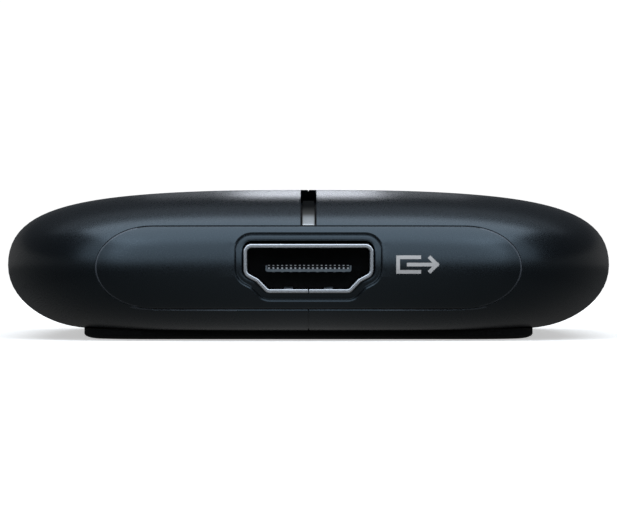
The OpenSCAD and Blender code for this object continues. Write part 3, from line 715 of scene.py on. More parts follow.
def strip(bm, x, half, thick, start, back, z, foot, tail):
    """Contact that runs back along a tongue, down behind its block and out along the board."""
    for low, high in (((start, z), (back, z + thick)), ((back, foot), (back + thick, z + thick)),
                      ((back + thick, foot), (back + tail, foot + thick))):
        block(bm, (x - half, *low), (x + half, *high))


def video_z():
    """Height of the middle of the video mouths."""
    k = bpy.context.scene.box_sockets
    return OUT_BOX[1][2] - k.video_h / 2 - k.sheet


def data_z():
    """Height of the middle of the data mouth."""
    k = bpy.context.scene.box_sockets
    return DATA_BOX[1][2] - k.data_h / 2 - k.data_sheet


class BOX_OT_casing_halves(bpy.types.Operator):
    """Moulds the two halves of the casing with their slot, posts and catches"""
    bl_idname = "capture_box.casing_halves"
    bl_label = "Casing halves"

    # Faces round a half above and below the belt, and along it before and behind the slot's end
    round_faces, front_rows, middle_rows = 44, 24, 8
    # Share of the upper outline that the columns beside the seam and the slot take up
    first_share = 0.055
    # First row's share of the distance to the slot's end, and how fast the rows widen from there
    first_row, row_power = 0.024, 1.4
    # How far along the way to the profile the surface is looked for
    search = 1.02
    # Length at each end that holds the panel's opening
    end_zone = 8 * MM
    # Angle from which an edge is rounded, and the share of the rounding away from the openings' upper edges
    sharp, fine_share = math.radians(32), 0.4
    # Facet below each opening: depth, how much deeper its upper edge lies and the height over which it fades
    facet, lean, fade = 0.3 * MM, 0.03 * MM, 3 * MM
    # How near a point of the skin lies to its form, and how near the rim to the opening's edge
    touch, rim_share = 0.0005 * MM, 1.004
    # Depth, height and outer limit of the painted highlight on the facet below each opening
    rub_depth, rub_rise, rub_share = 0.25 * MM, 0.2 * MM, 1.025
    # How far the slot's end wall slopes back, and how far from its plane a point of it may lie
    slope_back, wall_reach = 1.2 * MM, 0.4 * MM
    # Distances within which a point counts as beside the slot and as beside the seam
    near, hair = 0.01 * MM, 0.001 * MM
    # Lips behind the seams: gap to the wall and to the slot, reach to each side, thickness and points along
    lip_gap, lip_start, lip_reach, lip_t, lip_points = 0.05 * MM, 0.1 * MM, 1.2 * MM, 0.6 * MM, 60
    # Distance of the lips from the casing's ends, and how much sooner the upper one stops
    lip_end, lip_short = 3.4 * MM, 1.2 * MM
    # Blades in the seams: thickness, and depth of their outer edge below the surface
    blade, blade_sink = 0.096 * MM, 0.15 * MM
    # Screw posts: radii of the post, the bore, the screw's head and its sink, and the web above the pad
    post_r, bore_r, head_r, sink_r, web = 3.2 * MM, 1.1 * MM, 1.9 * MM, 2.1 * MM, 1.2 * MM
    # Catches for the inner frame's arms: place along the box, drop below the frame's top, lap and gap
    catch_y, catch_drop, catch_lap, catch_gap = 12 * MM, 1 * MM, 2.4 * MM, 0.4 * MM
    # Half length and half height of a catch, outside and inside
    catch_outer, catch_inner = (2.8 * MM, 2.3 * MM), (1.6 * MM, 1.1 * MM)

    def execute(self, context):
        s, p = context.scene.box_casing, context.scene.box_panels
        form = CasingForm(s)
        rails = self.rails(form, s, p)
        points = [self.line(form, s, *rail) for rail in rails]
        for side, name in ((-1, "left_shell"), (1, "right_shell")):
            bm = bmesh.new()
            sheet(bm, len(rails) - 1, len(points[0]) - 1, lambda i, j: self.set_on(points[i][j], side),
                  (side * s.body_w / 4, 0, s.belt_z))
            slot_end = s.slot_l - s.body_l / 2
            gone = [f for f in bm.faces if self.in_slot(f.calc_center_median(), s, slot_end)]
            bmesh.ops.delete(bm, geom=gone, context="FACES")
            bmesh.ops.solidify(bm, geom=bm.faces[:], thickness=s.wall)
            self.clear_ends(bm, s, p)
            self.lean_edges(bm, form, s, p)
            self.rub(bm, form, s, p)
            self.undercut(bm, s, slot_end)
            self.inner_forms(bm, s, side)
            if side < 0:
                self.seam_lips(bm, s)
            self.weigh(bm, s, p)
            # The second finish is the painted highlight on the facets below the openings
            obj = piece(name + "_skin", bm, ("casing", "painted_edge_highlight"), "casing", edge=s.edge, weighted=True)
            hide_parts(name)
        return {"FINISHED"}

    def set_on(self, point, side):
        """Point of the right half, or its mirror image."""
        return Vector((side * point.x, point.y, point.z))

    def in_slot(self, place, s, slot_end):
        """Whether a face lies in the light slot."""
        return abs(place.x) < s.slot_w / 2 and place.y < slot_end and place.z > s.belt_z

    def clear_ends(self, bm, s, p):
        """Makes the walls of the end openings run straight in, clear of the panels."""
        for v in bm.verts:
            if abs(v.co.y) > s.body_l / 2 - self.end_zone:
                part, (x, z) = reach(v.co, s, p)
                if 0 < part < 1:
                    v.co.x, v.co.z = x + (v.co.x - x) / part, z + (v.co.z - z) / part

    def lean_edges(self, bm, form, s, p):
        """Leans the lower edge of each end opening back into a facet that faces the light."""
        foot = s.belt_z - p.drop - p.height / 2
        for v in bm.verts:
            on_skin = abs(abs(v.co.y) + form.front(v.co.x, v.co.z)) < self.touch
            if on_skin and reach(v.co, s, p)[0] < self.rim_share:
                low = max(0, 1 - (v.co.z - foot) / self.fade)
                v.co.y -= math.copysign(low * (self.facet + self.lean), v.co.y)

    def rub(self, bm, form, s, p):
        """Gives the facet below each end opening the paler finish of a painted highlight."""
        foot = s.belt_z - p.drop - p.height / 2
        for face in bm.faces:
            place = face.calc_center_median()
            shallow = -abs(place.y) - form.front(place.x, place.z) < self.rub_depth
            low = place.z < foot + self.rub_rise
            # Faces of the facet take the paler finish as a painted highlight
            face.material_index = int(shallow and low and 1 < reach(place, s, p)[0] < self.rub_share)

    def undercut(self, bm, s, slot_end):
        """Slopes the slot's end wall back under the crown, so that it stays in shadow."""
        for v in bm.verts:
            across = abs(v.co.x) < s.slot_w / 2 + self.near and abs(v.co.y - slot_end) < self.wall_reach
            if across and s.belt_z < v.co.z < s.belt_z + s.crown_rise - s.wall:
                v.co.y += self.slope_back

    def weigh(self, bm, s, p):
        """Rounds the openings' upper edges in full, the others more finely and the blades not at all."""
        weight = bm.edges.layers.float.new("bevel_weight_edge")
        for e in bm.edges:
            if len(e.link_faces) == 2 and e.calc_face_angle() > self.sharp:
                a, b = (v.co for v in e.verts)
                along_seam = abs(a.x - b.x) < self.near and abs(a.x) < s.slot_w / 2 + self.near
                at_end = min(abs(a.y), abs(b.y)) > s.body_l / 2 - self.end_zone
                high = max(0, (min(a.z, b.z) - s.belt_z + p.drop) / (p.height / 2)) ** 2
                if max(abs(a.x), abs(b.x)) < s.seam / 2 - self.hair:
                    e.smooth = False
                else:
                    broad = high if at_end and not along_seam else 0
                    e[weight] = self.fine_share + (1 - self.fine_share) * min(broad, 1)

    def rails(self, form, s, p):
        """Pairs of places that each lengthwise line runs between, seen from the front."""
        middle = s.belt_z - p.drop
        end = [(x, z + middle) for x, z in panel_line(p, 0, 1)]
        half = len(end) // 2
        upper = [(0, end[-1][1])] + end[half:][::-1]
        lower = end[:half + 1][::-1] + [(0, end[0][1])]
        pairs = [((x, upper[0][1]), (x, s.belt_z + s.crown_rise)) for x in (s.seam / 2, s.slot_w / 2)]
        for k in range(self.round_faces + 1):
            part = self.first_share + (1 - self.first_share) * k / self.round_faces
            pairs.append((walked(upper, part), walked(form.upper, part)))
        for k in range(1, self.round_faces):
            part = k / self.round_faces
            pairs.append((walked(lower, part), walked(form.lower, part)))
        pairs.append(((s.seam / 2, lower[-1][1]), (s.seam / 2, form.lower[-1][1])))
        return pairs

    def line(self, form, s, inner, outer):
        """Points of one lengthwise line from the front panel to the rear panel."""
        start, stop = form.front(*inner), s.slot_l - s.body_l / 2
        shares = [(k / self.front_rows) ** self.row_power for k in range(self.front_rows + 1)]
        shares = [self.first_row + (1 - self.first_row) * part for part in shares]
        depths = [start + self.facet] + [start + (stop - start) * part for part in shares]
        depths += [stop * (1 - k / self.middle_rows) for k in range(1, self.middle_rows + 1)]
        beyond = mixed(inner, outer, self.search)
        line = [Vector((inner[0], start, inner[1]))]
        line += [form.crossing(inner, beyond, y) for y in depths]
        return line + [Vector((v.x, -v.y, v.z)) for v in reversed(line[:-1])]

    def seam_lips(self, bm, s):
        """Lips and blades of the left half that lap the right half and keep light out of the seams."""
        forms = CasingForm(s, self.blade_sink), CasingForm(s, s.wall + self.lip_gap)
        ends, slot_end = s.body_l / 2 - self.lip_end, s.slot_l - s.body_l / 2 + self.lip_start
        for starts, stop, below in (((-ends, -ends), ends, True),
                                    ((slot_end, slot_end + self.slope_back), ends - self.lip_short, False)):
            def on(i, j):
                form, start = forms[i], starts[i]
                height = form.lower[-1][1] if below else form.upper[0][1]
                return form.crossing((0, s.belt_z), (0, height), start + (stop - start) * j / self.lip_points)

            lip = sheet(bm, 1, self.lip_points,
                        lambda i, j: on(1, j) + Vector(((2 * i - 1) * self.lip_reach, 0, 0)),
                        (0, 0, s.belt_z))
            bmesh.ops.solidify(bm, geom=lip, thickness=self.lip_t)
            fin = sheet(bm, 1, self.lip_points, lambda i, j: on(i, j) + Vector((self.blade / 2, 0, 0)),
                        (-s.body_w, 0, s.belt_z))
            bmesh.ops.solidify(bm, geom=fin, thickness=self.blade)
        bmesh.ops.recalc_face_normals(bm, faces=bm.faces[:])

    def inner_forms(self, bm, s, side):
        """Screw posts and the catches that hold the inner frame's arms."""
        screws, frame_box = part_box("case_screws"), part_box("chassis")
        x, y = screws[1][0] - self.head_r, screws[1][1] - self.head_r
        low, step, top = s.pad_t, s.pad_t + self.web, BOARD_BOX[0][2]
        rows = ((low, self.post_r), (top, self.post_r), (top, self.bore_r),
                (step, self.bore_r), (step, self.sink_r), (low, self.sink_r))
        for place in (-y, y):
            ring(bm, [circle(side * x, place, z, r) for z, r in rows])
        height = frame_box[1][2] - self.catch_drop
        near, far = frame_box[1][0] - self.catch_lap, frame_box[1][0] + self.catch_gap
        rows = ((near, self.catch_outer), (far, self.catch_outer),
                (far, self.catch_inner), (near, self.catch_inner))
        square = ((-1, -1), (1, -1), (1, 1), (-1, 1))
        for place in (-self.catch_y, self.catch_y):
            ring(bm, [[Vector((side * across, place + a * w, height + b * h)) for a, b in square]
                      for across, (w, h) in rows])
        bmesh.ops.recalc_face_normals(bm, faces=bm.faces[:])


class BOX_OT_end_panels(bpy.types.Operator):
    """Moulds the flush end panels with a recess round each socket"""
    bl_idname = "capture_box.end_panels"
    bl_label = "End panels"

    # Flange that laps the casing from inside: place behind the panel's back, thickness, lap and width
    flange_set, flange_t, flange_lap, flange_w = 0.15 * MM, 0.3 * MM, 0.08 * MM, 1 * MM
    # Gap to the casing, and the depth of the outer bevel as a share of its width
    seam, brow_slope = 0.03 * MM, 0.25
    # Painted highlight on the edge: inner limit, depth and the share of the panel's height beside which it
    # lies
    rim_share, rim_depth, rim_height = 0.965, 0.1 * MM, 0.94
    # Rows across the face, steps in the cove, spacing of the points and angle in degrees of a sharp edge
    rows, turns, spacing, crease = 8, 8, 0.36 * MM, 48
    # Distance within which points of the rear panel's two parts count as one
    same = 0.001 * MM

    def execute(self, context):
        s, p, k = context.scene.box_casing, context.scene.box_panels, context.scene.box_sockets
        form = CasingForm(s)
        middle = s.belt_z - p.drop
        video_x, data_x = -(IN_BOX[0][0] + IN_BOX[1][0]) / 2, -(DATA_BOX[0][0] + DATA_BOX[1][0]) / 2
        split = (video_x - k.video_w / 2 + data_x + k.data_w / 2) / 2

        def rim(side, gap):
            return [(x, z + middle) for x, z in panel_line(p, gap - self.seam, side)]

        def whole(gap):
            return divided(rim(1, gap) + rim(-1, gap), self.spacing, p.straight)

        def part(side, gap):
            line = rim(side, gap)
            ends = [(split, line[0][1])], [(split, line[-1][1])]
            return divided(ends[0] + line + ends[1], self.spacing, p.straight / 2)

        def video_line(gap):
            return mouth(k, k.sheet + p.socket_gap + gap, p.recess_lift)

        def data_line(gap):
            return stadium(k.data_w, k.data_h, k.data_sheet + p.socket_gap + gap)

        front = bmesh.new()
        self.region(front, form, p, whole, video_line, (0, video_z() + p.recess_rise))
        self.close(front, form, "front_panel")
        rear = bmesh.new()
        self.region(rear, form, p, lambda gap: part(1, gap), video_line, (video_x, video_z() + p.recess_rise))
        self.region(rear, form, p, lambda gap: part(-1, gap), data_line, (data_x, data_z()))
        inside = [f for f in rear.faces if all(abs(v.co.x - split) < self.same for v in f.verts)]
        bmesh.ops.delete(rear, geom=inside, context="FACES")
        bmesh.ops.remove_doubles(rear, verts=rear.verts[:], dist=self.same)
        bmesh.ops.rotate(rear, verts=rear.verts[:], matrix=Matrix.Rotation(math.pi, 3, "Z"))
        self.close(rear, form, "rear_panel")
        return {"FINISHED"}

    def region(self, bm, form, p, rim, opening, centre):
        """Part of a panel round one socket, from its bevelled rim in to the opening."""
        outer = rim(0)

        def inner(gap):
            line = [(x + centre[0], z + centre[1]) for x, z in opening(gap)]
            return [met(line, centre, q) for q in outer]

        def loop(line, depth):
            return [Vector((x, form.front(x, z) + depth, z)) for x, z in line]

        b, e, f, r, wide, deep = p.brow, p.edge, p.cove, p.bead, p.recess_w, p.recess
        near, far = p.thick + self.flange_set, p.thick + self.flange_set + self.flange_t
        held, lip = rim(-self.flange_w), rim(self.seam + self.flange_lap)
        loops = [loop(held, p.thick), loop(held, far), loop(lip, far), loop(lip, near), loop(outer, near)]
        loops += [loop(rim(-b * k), self.brow_slope * b * (1 - k)) for k in (0, 1)]
        face = list(zip(rim(-b), inner(wide + e)))
        loops += [loop([mixed(*pair, k / self.rows) for pair in face], 0) for k in range(1, self.rows)]
        loops += [loop(inner(wide + e * (1 - k)), e * k) for k in (0, 1)]
        angles = [math.pi / 2 * k / self.turns for k in range(self.turns + 1)]
        loops += [loop(inner(wide - f * (1 - math.cos(g))), deep - f * (1 - math.sin(g))) for g in angles]
        loops += [loop(inner(r * (1 - k)), deep + p.bead_slope * r * k) for k in (0, 1)]
        loops += [loop(inner(0), p.thick)]
        ring(bm, loops)

    def close(self, bm, form, name):
        """Gives a panel its finish, with a painted highlight on its edges beside its ends, and lets it stand
        for its node.
        """
        s, p = bpy.context.scene.box_casing, bpy.context.scene.box_panels
        for face in bm.faces:
            place = face.calc_center_median()
            shallow = -abs(place.y) - form.front(place.x, place.z) < self.rim_depth
            beside = abs(place.z - s.belt_z + p.drop) < self.rim_height * p.height / 2
            # Faces on the outer bevel beside the panel's ends take the paler finish as a painted highlight
            face.material_index = int(shallow and beside and reach(place, s, p)[0] > self.rim_share)
        bmesh.ops.recalc_face_normals(bm, faces=bm.faces[:])
        obj = piece(name + "_skin", bm, ("panel", "painted_edge_highlight"), "panel", crease=self.crease)
        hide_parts(name)


class BOX_OT_light_guide(bpy.types.Operator):
    """Moulds the light guide with its flange and the foot over the light source"""
    bl_idname = "capture_box.light_guide"
    bl_label = "Light guide"

    # Points along the rib, width and thickness of the flange, half length of the foot and edge rounding
    stations, flange_w, flange_t, foot_reach, edge = 64, 4.4 * MM, 0.9 * MM, 1.5 * MM, 0.1 * MM

    def execute(self, context):
        s, p = context.scene.box_casing, context.scene.box_panels
        bm = bmesh.new()
        self.band(bm, s, p, s.guide_w, s.guide_sink, s.guide_sink + s.guide_h)
        rib = set(bm.faces)
        flange = s.wall + 2 * s.guide_gap
        self.band(bm, s, p, self.flange_w, flange, flange + self.flange_t)
        low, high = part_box("status_led")
        y = (low[1] + high[1]) / 2
        block(bm, (-s.guide_w / 2, y - self.foot_reach, high[2] + s.guide_gap),
              (s.guide_w / 2, y + self.foot_reach, s.belt_z + s.crown_rise - s.wall - s.guide_h))
        # The flange and foot take black painted shade so that the gaps round the rib stay dark
        for face in bm.faces:
            face.material_index = 0 if face in rib else 1
        obj = piece("light_guide_skin", bm, ("guide", "mask"), "guide", edge=self.edge)
        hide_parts("light_guide")
        return {"FINISHED"}

    def band(self, bm, s, p, width, upper, lower):
        """Rib that follows the crown between two depths, from the slot's end to the front panel."""
        back = s.slot_l - s.body_l / 2 - s.guide_gap
        foot = s.belt_z - p.drop + p.height / 2 + s.guide_gap
        lines = []
        for depth in (upper, lower):
            form = CasingForm(s, depth)
            start = last_share(lambda t: form.crown_point(t)[0] > back)
            stop = last_share(lambda t: form.crown_point(t)[1] > foot)
            lines.append([form.crown_point(start + (stop - start) * k / self.stations)
                          for k in range(self.stations + 1)])
        outline = [Vector((-width / 2, y, z)) for y, z in lines[0] + lines[1][::-1]]
        prism(bm, outline, (width, 0, 0))


class BOX_OT_base_pad(bpy.types.Operator):
    """Moulds the rubber pad that the box stands on"""
    bl_idname = "capture_box.base_pad"
    bl_label = "Base pad"

    # Steps in the rounding of the foot and of each corner
    steps, corner_steps = 8, 20

    def execute(self, context):
        s = context.scene.box_casing
        w, l, r = s.pad_w / 2, s.pad_l / 2, s.pad_corner
        bm = bmesh.new()
        turns = [math.pi / 2 * k / self.steps for k in range(self.steps + 1)]
        rows = [(0, s.pad_t)]
        rows += [(s.pad_foot * (1 - math.cos(g)), s.pad_edge * (1 - math.sin(g))) for g in turns]
        loops = []
        for inset, z in rows:
            a, b = w - inset, l - inset
            line = rounded([(-a, -b), (a, -b), (a, b), (-a, b)], [r - inset] * 4, self.corner_steps)
            loops.append([Vector((x, y, z)) for x, y in line])
        count = len(loops[0])
        sheet(bm, count, len(loops) - 1, lambda i, j: loops[j][i % count])
        bmesh.ops.remove_doubles(bm, verts=bm.verts[:], dist=SAME)
        bmesh.ops.holes_fill(bm, edges=bm.edges[:])
        bmesh.ops.recalc_face_normals(bm, faces=bm.faces[:])
        obj = piece("base_pad_skin", bm, ("pad",), "pad")
        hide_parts("base_pad")
        return {"FINISHED"}


class BOX_OT_video_sockets(bpy.types.Operator):
    """Folds the sheet-metal shells of the video sockets and moulds their tongues and contacts"""
    bl_idname = "capture_box.video_sockets"
    bl_label = "Video sockets"

    # Shell: half the gap of its butt joint, spacing of its points, height of its floor and places of its legs
    joint, spacing, floor_h, legs_back = 0.02 * MM, 0.5 * MM, 0.05 * MM, (3.2 * MM, 0.9 * MM)
    # Gap round the block, how far the tongue runs into it, and the tongue's lower and upper corners
    block_gap, root, low_r, high_r = 0.004 * MM, 0.5 * MM, 0.28 * MM, 0.08 * MM
    # Dark strip of painted shade in the tongue's nose: inset at the sides, how far it stands out, foot,
    # length and rise
    nose_in, nose_out, nose_low, nose_l, nose_up = 0.2 * MM, 0.03 * MM, 0.1 * MM, 0.3 * MM, 0.01 * MM
    # Contacts to each side of the middle, how proud they lie, their start, reach behind the block and tail
    to_side, proud, start, upper_back, lower_back, tail = 9, 0.02 * MM, 0.4 * MM, 0.6 * MM, 0.2 * MM, 0.7 * MM
    # Contact ends in the nose: half width and length, and how far out and how high each row of them lies
    tip, tip_l, mid_out, mid_low, mid_high = 0.1 * MM, 0.2 * MM, 0.06 * MM, 0.05 * MM, 0.13 * MM
    top_out, top_low = 0.04 * MM, 0.07 * MM
    tongue_edge = 0.1 * MM

    def execute(self, context):
        parts = (("shell", self.shell, ("socket_metal",), context.scene.box_sockets.lip),
                 ("tongue", self.tongue, ("insulator", "plate"), self.tongue_edge),
                 ("contacts", self.contacts, ("contact",), CONTACT_EDGE))
        for name, box, rear in VIDEO_ENDS:
            socket(f"video_{name}", box, video_z(), rear, parts)
        return {"FINISHED"}

    def shell(self, bm, k):
        """D-shaped tube with a butt joint in its floor, finger windows and solder legs."""
        line = mouth(k, 0)
        per_corner = len(line) // 8
        floor = -k.video_h / 2
        window = k.finger_w / 2 + k.finger_gap
        stops = [self.joint, k.finger_x - window, k.finger_x + window]
        around = [(x, floor) for x in stops] + line[per_corner:] + line[:per_corner]
        around += [(-x, floor) for x in reversed(stops)]
        around = stepped(around, self.spacing)
        near = k.tongue_set + k.finger_set - k.finger_gap
        far = near + k.finger_l + 2 * k.finger_gap
        along = [0, near / 2, near, far, (far + k.video_l) / 2, k.video_l]
        sheet(bm, len(around) - 1, len(along) - 1,
              lambda i, j: Vector((around[i][0], along[j], around[i][1])), (0, k.video_l / 2, 0))
        gone = []
        for f in bm.faces:
            c = f.calc_center_median()
            if near < c.y < far and abs(abs(c.x) - k.finger_x) < window and c.z < floor + self.floor_h:
                gone.append(f)
        bmesh.ops.delete(bm, geom=gone, context="FACES")
        legs(bm, k.video_w / 2, OUT_BOX[0][2] - video_z(), [k.video_l - back for back in self.legs_back])
        bmesh.ops.solidify(bm, geom=bm.faces[:], thickness=-k.rim)
        bmesh.ops.recalc_face_normals(bm, faces=bm.faces[:])

    def tongue(self, bm, k):
        """Tongue with its thicker root block and a dark strip of painted shade over the upper part of its
        nose.
        """
        outline = [Vector((x, k.video_l - k.block_l, z)) for x, z in mouth(k, -self.block_gap)]
        prism(bm, outline, (0, k.block_l, 0))
        w, t = k.tongue_w / 2, k.tongue_t / 2
        radii = [self.low_r, self.low_r, self.high_r, self.high_r]
        nose = rounded([(-w, -t), (w, -t), (w, t), (-w, t)], radii, steps=5)
        plate = prism(bm, [Vector((x, k.tongue_set, z)) for x, z in nose],
                      (0, k.video_l - k.block_l - k.tongue_set + self.root, 0))
        for face in plate:
            face.material_index = 1
        # Painted shade: a dark strip over the upper part of the nose, where the contacts' slots shade it
        block(bm, (-w + self.nose_in, k.tongue_set - self.nose_out, -self.nose_low),
              (w - self.nose_in, k.tongue_set + self.nose_l, t + self.nose_up))

    def contacts(self, bm, k):
        """Two rows of strips whose ends show in the nose of the tongue, and their tails."""
        t, half, tip, tip_back = k.tongue_t / 2, k.contact_w / 2, self.tip, k.tongue_set + self.tip_l
        foot = BOARD_BOX[1][2] - video_z()
        for n in range(-self.to_side, self.to_side + 1):
            x = n * k.contact_pitch
            upper = n % 2 != 0
            z = t - k.contact_t + self.proud if upper else -t - self.proud
            back = k.video_l + (self.upper_back if upper else self.lower_back)
            strip(bm, x, half, k.contact_t, k.tongue_set + self.start, back, z, foot, self.tail)
            for out, low, high in ((self.mid_out, -self.mid_low, self.mid_high),
                                   (self.top_out, t - self.top_low, t + self.proud)):
                block(bm, (x - tip, k.tongue_set - out, low), (x + tip, tip_back, high))


class BOX_OT_spring_fingers(bpy.types.Operator):
    """Bends the leaf springs in the floors of the video sockets"""
    bl_idname = "capture_box.spring_fingers"
    bl_label = "Spring fingers"

    # Faces across and along a leaf, place and half length of its crest, and edge rounding
    across, along, crest_at, crest_run, edge = 4, 44, 0.5 * MM, 0.75 * MM, 0.04 * MM
    # Depth below a leaf of the point that its drawn side faces away from
    far_below = 50 * MM

    def execute(self, context):
        k = context.scene.box_sockets
        for name, box, rear in VIDEO_ENDS:
            for word, side in (("left", -1), ("right", 1)):
                bm = bmesh.new()
                self.leaf(bm, k, side * k.finger_x)
                seated(bm, box, video_z(), rear)
                obj = piece(f"video_{name}_finger_{word}_skin", bm, ("spring",), "spring",
                            body=f"{name}_finger_{word}", edge=self.edge)
                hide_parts(f"video_{name}_finger_{word}")
        return {"FINISHED"}

    def leaf(self, bm, k, x):
        """Flat leaf with a smooth crest near its free end."""
        start = k.tongue_set + k.finger_set
        flat = -k.video_h / 2 - (k.sheet - k.finger_t) / 2
        crest = start + self.crest_at

        def place(i, j):
            y = start + k.finger_l * j / self.along
            away = min(abs(y - crest) / self.crest_run, 1)
            lift = k.finger_rise * math.cos(away * math.pi / 2) ** 2
            return Vector((x + k.finger_w * (i / self.across - 0.5), y, flat + lift))

        sheet(bm, self.across, self.along, place, (x, crest, flat - self.far_below))
        bmesh.ops.solidify(bm, geom=bm.faces[:], thickness=k.finger_t)
        bmesh.ops.recalc_face_normals(bm, faces=bm.faces[:])


class BOX_OT_data_socket(bpy.types.Operator):
    """Folds the shell of the data socket and moulds its tongue and contacts"""
    bl_idname = "capture_box.data_socket"
    bl_label = "Data socket"

    # Faces along the shell, places of its legs and edge rounding
    rows, legs_back, shell_edge = 3, (2.6 * MM, 0.9 * MM), 0.11 * MM
    # Length of the root block, gap round it, how far the tongue runs into it, its corners and edge rounding
    root, root_gap, lap, corner, tongue_edge = 3 * MM, 0.02 * MM, 0.5 * MM, 0.2 * MM, 0.08 * MM
    # Contacts in a row, their half width, start, reach behind the block and tail
    count, half, start, upper_back, lower_back, tail = 12, 0.125 * MM, 0.05 * MM, 1.6 * MM, 0.2 * MM, 0.9 * MM

    def execute(self, context):
        socket("data", DATA_BOX, data_z(), True, (
            ("shell", self.shell, ("socket_metal",), self.shell_edge),
            ("tongue", self.tongue, ("insulator",), self.tongue_edge),
            ("contacts", self.contacts, ("contact",), CONTACT_EDGE)))
        return {"FINISHED"}

    def shell(self, bm, k):
        """Round-ended tube with solder legs."""
        line = stadium(k.data_w, k.data_h, 0)

        def place(i, j):
            x, z = line[i % len(line)]
            return Vector((x, j / self.rows * k.data_l, z))

        sheet(bm, len(line), self.rows, place, (0, k.data_l / 2, 0))
        bmesh.ops.remove_doubles(bm, verts=bm.verts[:], dist=SAME)
        legs(bm, k.data_w / 2, DATA_BOX[0][2] - data_z(), [k.data_l - back for back in self.legs_back])
        bmesh.ops.solidify(bm, geom=bm.faces[:], thickness=-k.data_sheet)
        bmesh.ops.recalc_face_normals(bm, faces=bm.faces[:])

    def tongue(self, bm, k):
        """Thin tongue with its root block."""
        front = k.data_l - self.root
        outline = [Vector((x, front, z)) for x, z in stadium(k.data_w, k.data_h, -self.root_gap)]
        prism(bm, outline, (0, self.root, 0))
        w, t = k.data_tongue_w / 2, k.data_tongue_t / 2
        nose = rounded([(-w, -t), (w, -t), (w, t), (-w, t)], [self.corner] * 4, steps=5)
        prism(bm, [Vector((x, k.data_tongue_set, z)) for x, z in nose],
              (0, front - k.data_tongue_set + self.lap, 0))

    def contacts(self, bm, k):
        """Two rows of strips with their tails."""
        t, thick, start = k.data_tongue_t / 2, k.contact_t, k.data_tongue_set + self.start
        foot = BOARD_BOX[1][2] - data_z()
        for n in range(self.count):
            x = (n - (self.count - 1) / 2) * k.contact_pitch
            for z, behind in ((t, self.upper_back), (-t - thick, self.lower_back)):
                strip(bm, x, self.half, thick, start, k.data_l + behind, z, foot, self.tail)


class BOX_OT_output_mark(bpy.types.Operator):
    """Prints a plain output arrow beside the front socket"""
    bl_idname = "capture_box.output_mark"
    bl_label = "Output mark"

    # Width of a stroke, half the thickness of the ink and steps along a stroke
    stroke, film, steps = 0.42 * MM, 0.02 * MM, 8
    # Middle of the mark, its half width and half height
    mark_x, mark_z, half_w, half_h = 12.35 * MM, 8.7 * MM, 2.2 * MM, 0.83 * MM
    # End of the frame right of the middle, start of the arrow left of it, and size of the barbs
    frame_end, arrow_start, barb = 0.2 * MM, 1 * MM, 0.74 * MM

    def execute(self, context):
        form = CasingForm(context.scene.box_casing)
        x, z, barb = self.mark_x, self.mark_z, self.barb
        left, tip, frame_x = x - self.half_w, x + self.half_w, x + self.frame_end
        high, low = z + self.half_h, z - self.half_h
        strokes = [((left, high), (left, low)), ((left, high), (frame_x, high)),
                   ((left, low), (frame_x, low)), ((x - self.arrow_start, z), (tip, z)),
                   ((tip, z), (tip - barb, z + barb)), ((tip, z), (tip - barb, z - barb))]
        bm = bmesh.new()
        for a, b in strokes:
            self.bar(bm, form, Vector(a), Vector(b))
        piece("output_mark", bm, ("ink",), "panel")
        return {"FINISHED"}

    def bar(self, bm, form, a, b):
        """Thin stroke of ink that lies on the panel."""
        run = (b - a).normalized()
        a, b = a - run * self.stroke / 2, b + run * self.stroke / 2
        aside = Vector((-run.y, run.x)) * self.stroke / 2

        def place(i, j):
            q = a + (b - a) * j / self.steps + aside * (i - 1)
            return Vector((q.x, form.front(q.x, q.y) - self.film, q.y))

        faces = sheet(bm, 2, self.steps, place, (a.x, 0, a.y))
        bmesh.ops.solidify(bm, geom=faces, thickness=2 * self.film)


class BOX_OT_inner_parts(bpy.types.Operator):
    """Gives the board, frame and small parts inside the casing their finishes"""
    bl_idname = "capture_box.inner_parts"
    bl_label = "Inner parts"

    kinds = {
        "main_board": "board", "chassis": "frame", "case_screws": "screw", "processor": "chip",
        "thermal_pad": "thermal", "heatsink": "sink", "video_receiver": "chip", "shield_frame": "shield",
        "shield_lid": "shield", "video_driver": "chip", "data_bridge": "chip", "memory_chips": "chip",
        "flash_chip": "chip", "clock_crystals": "crystal", "power_inductors": "inductor",
        "bulk_capacitors": "capacitor", "small_passives": "passive", "surge_arrays": "chip",
        "status_led": "led",
    }

    def execute(self, context):
        for name, kind in self.kinds.items():
            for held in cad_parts[name].material_slots:
                held.material = finish(kind)
        return {"FINISHED"}


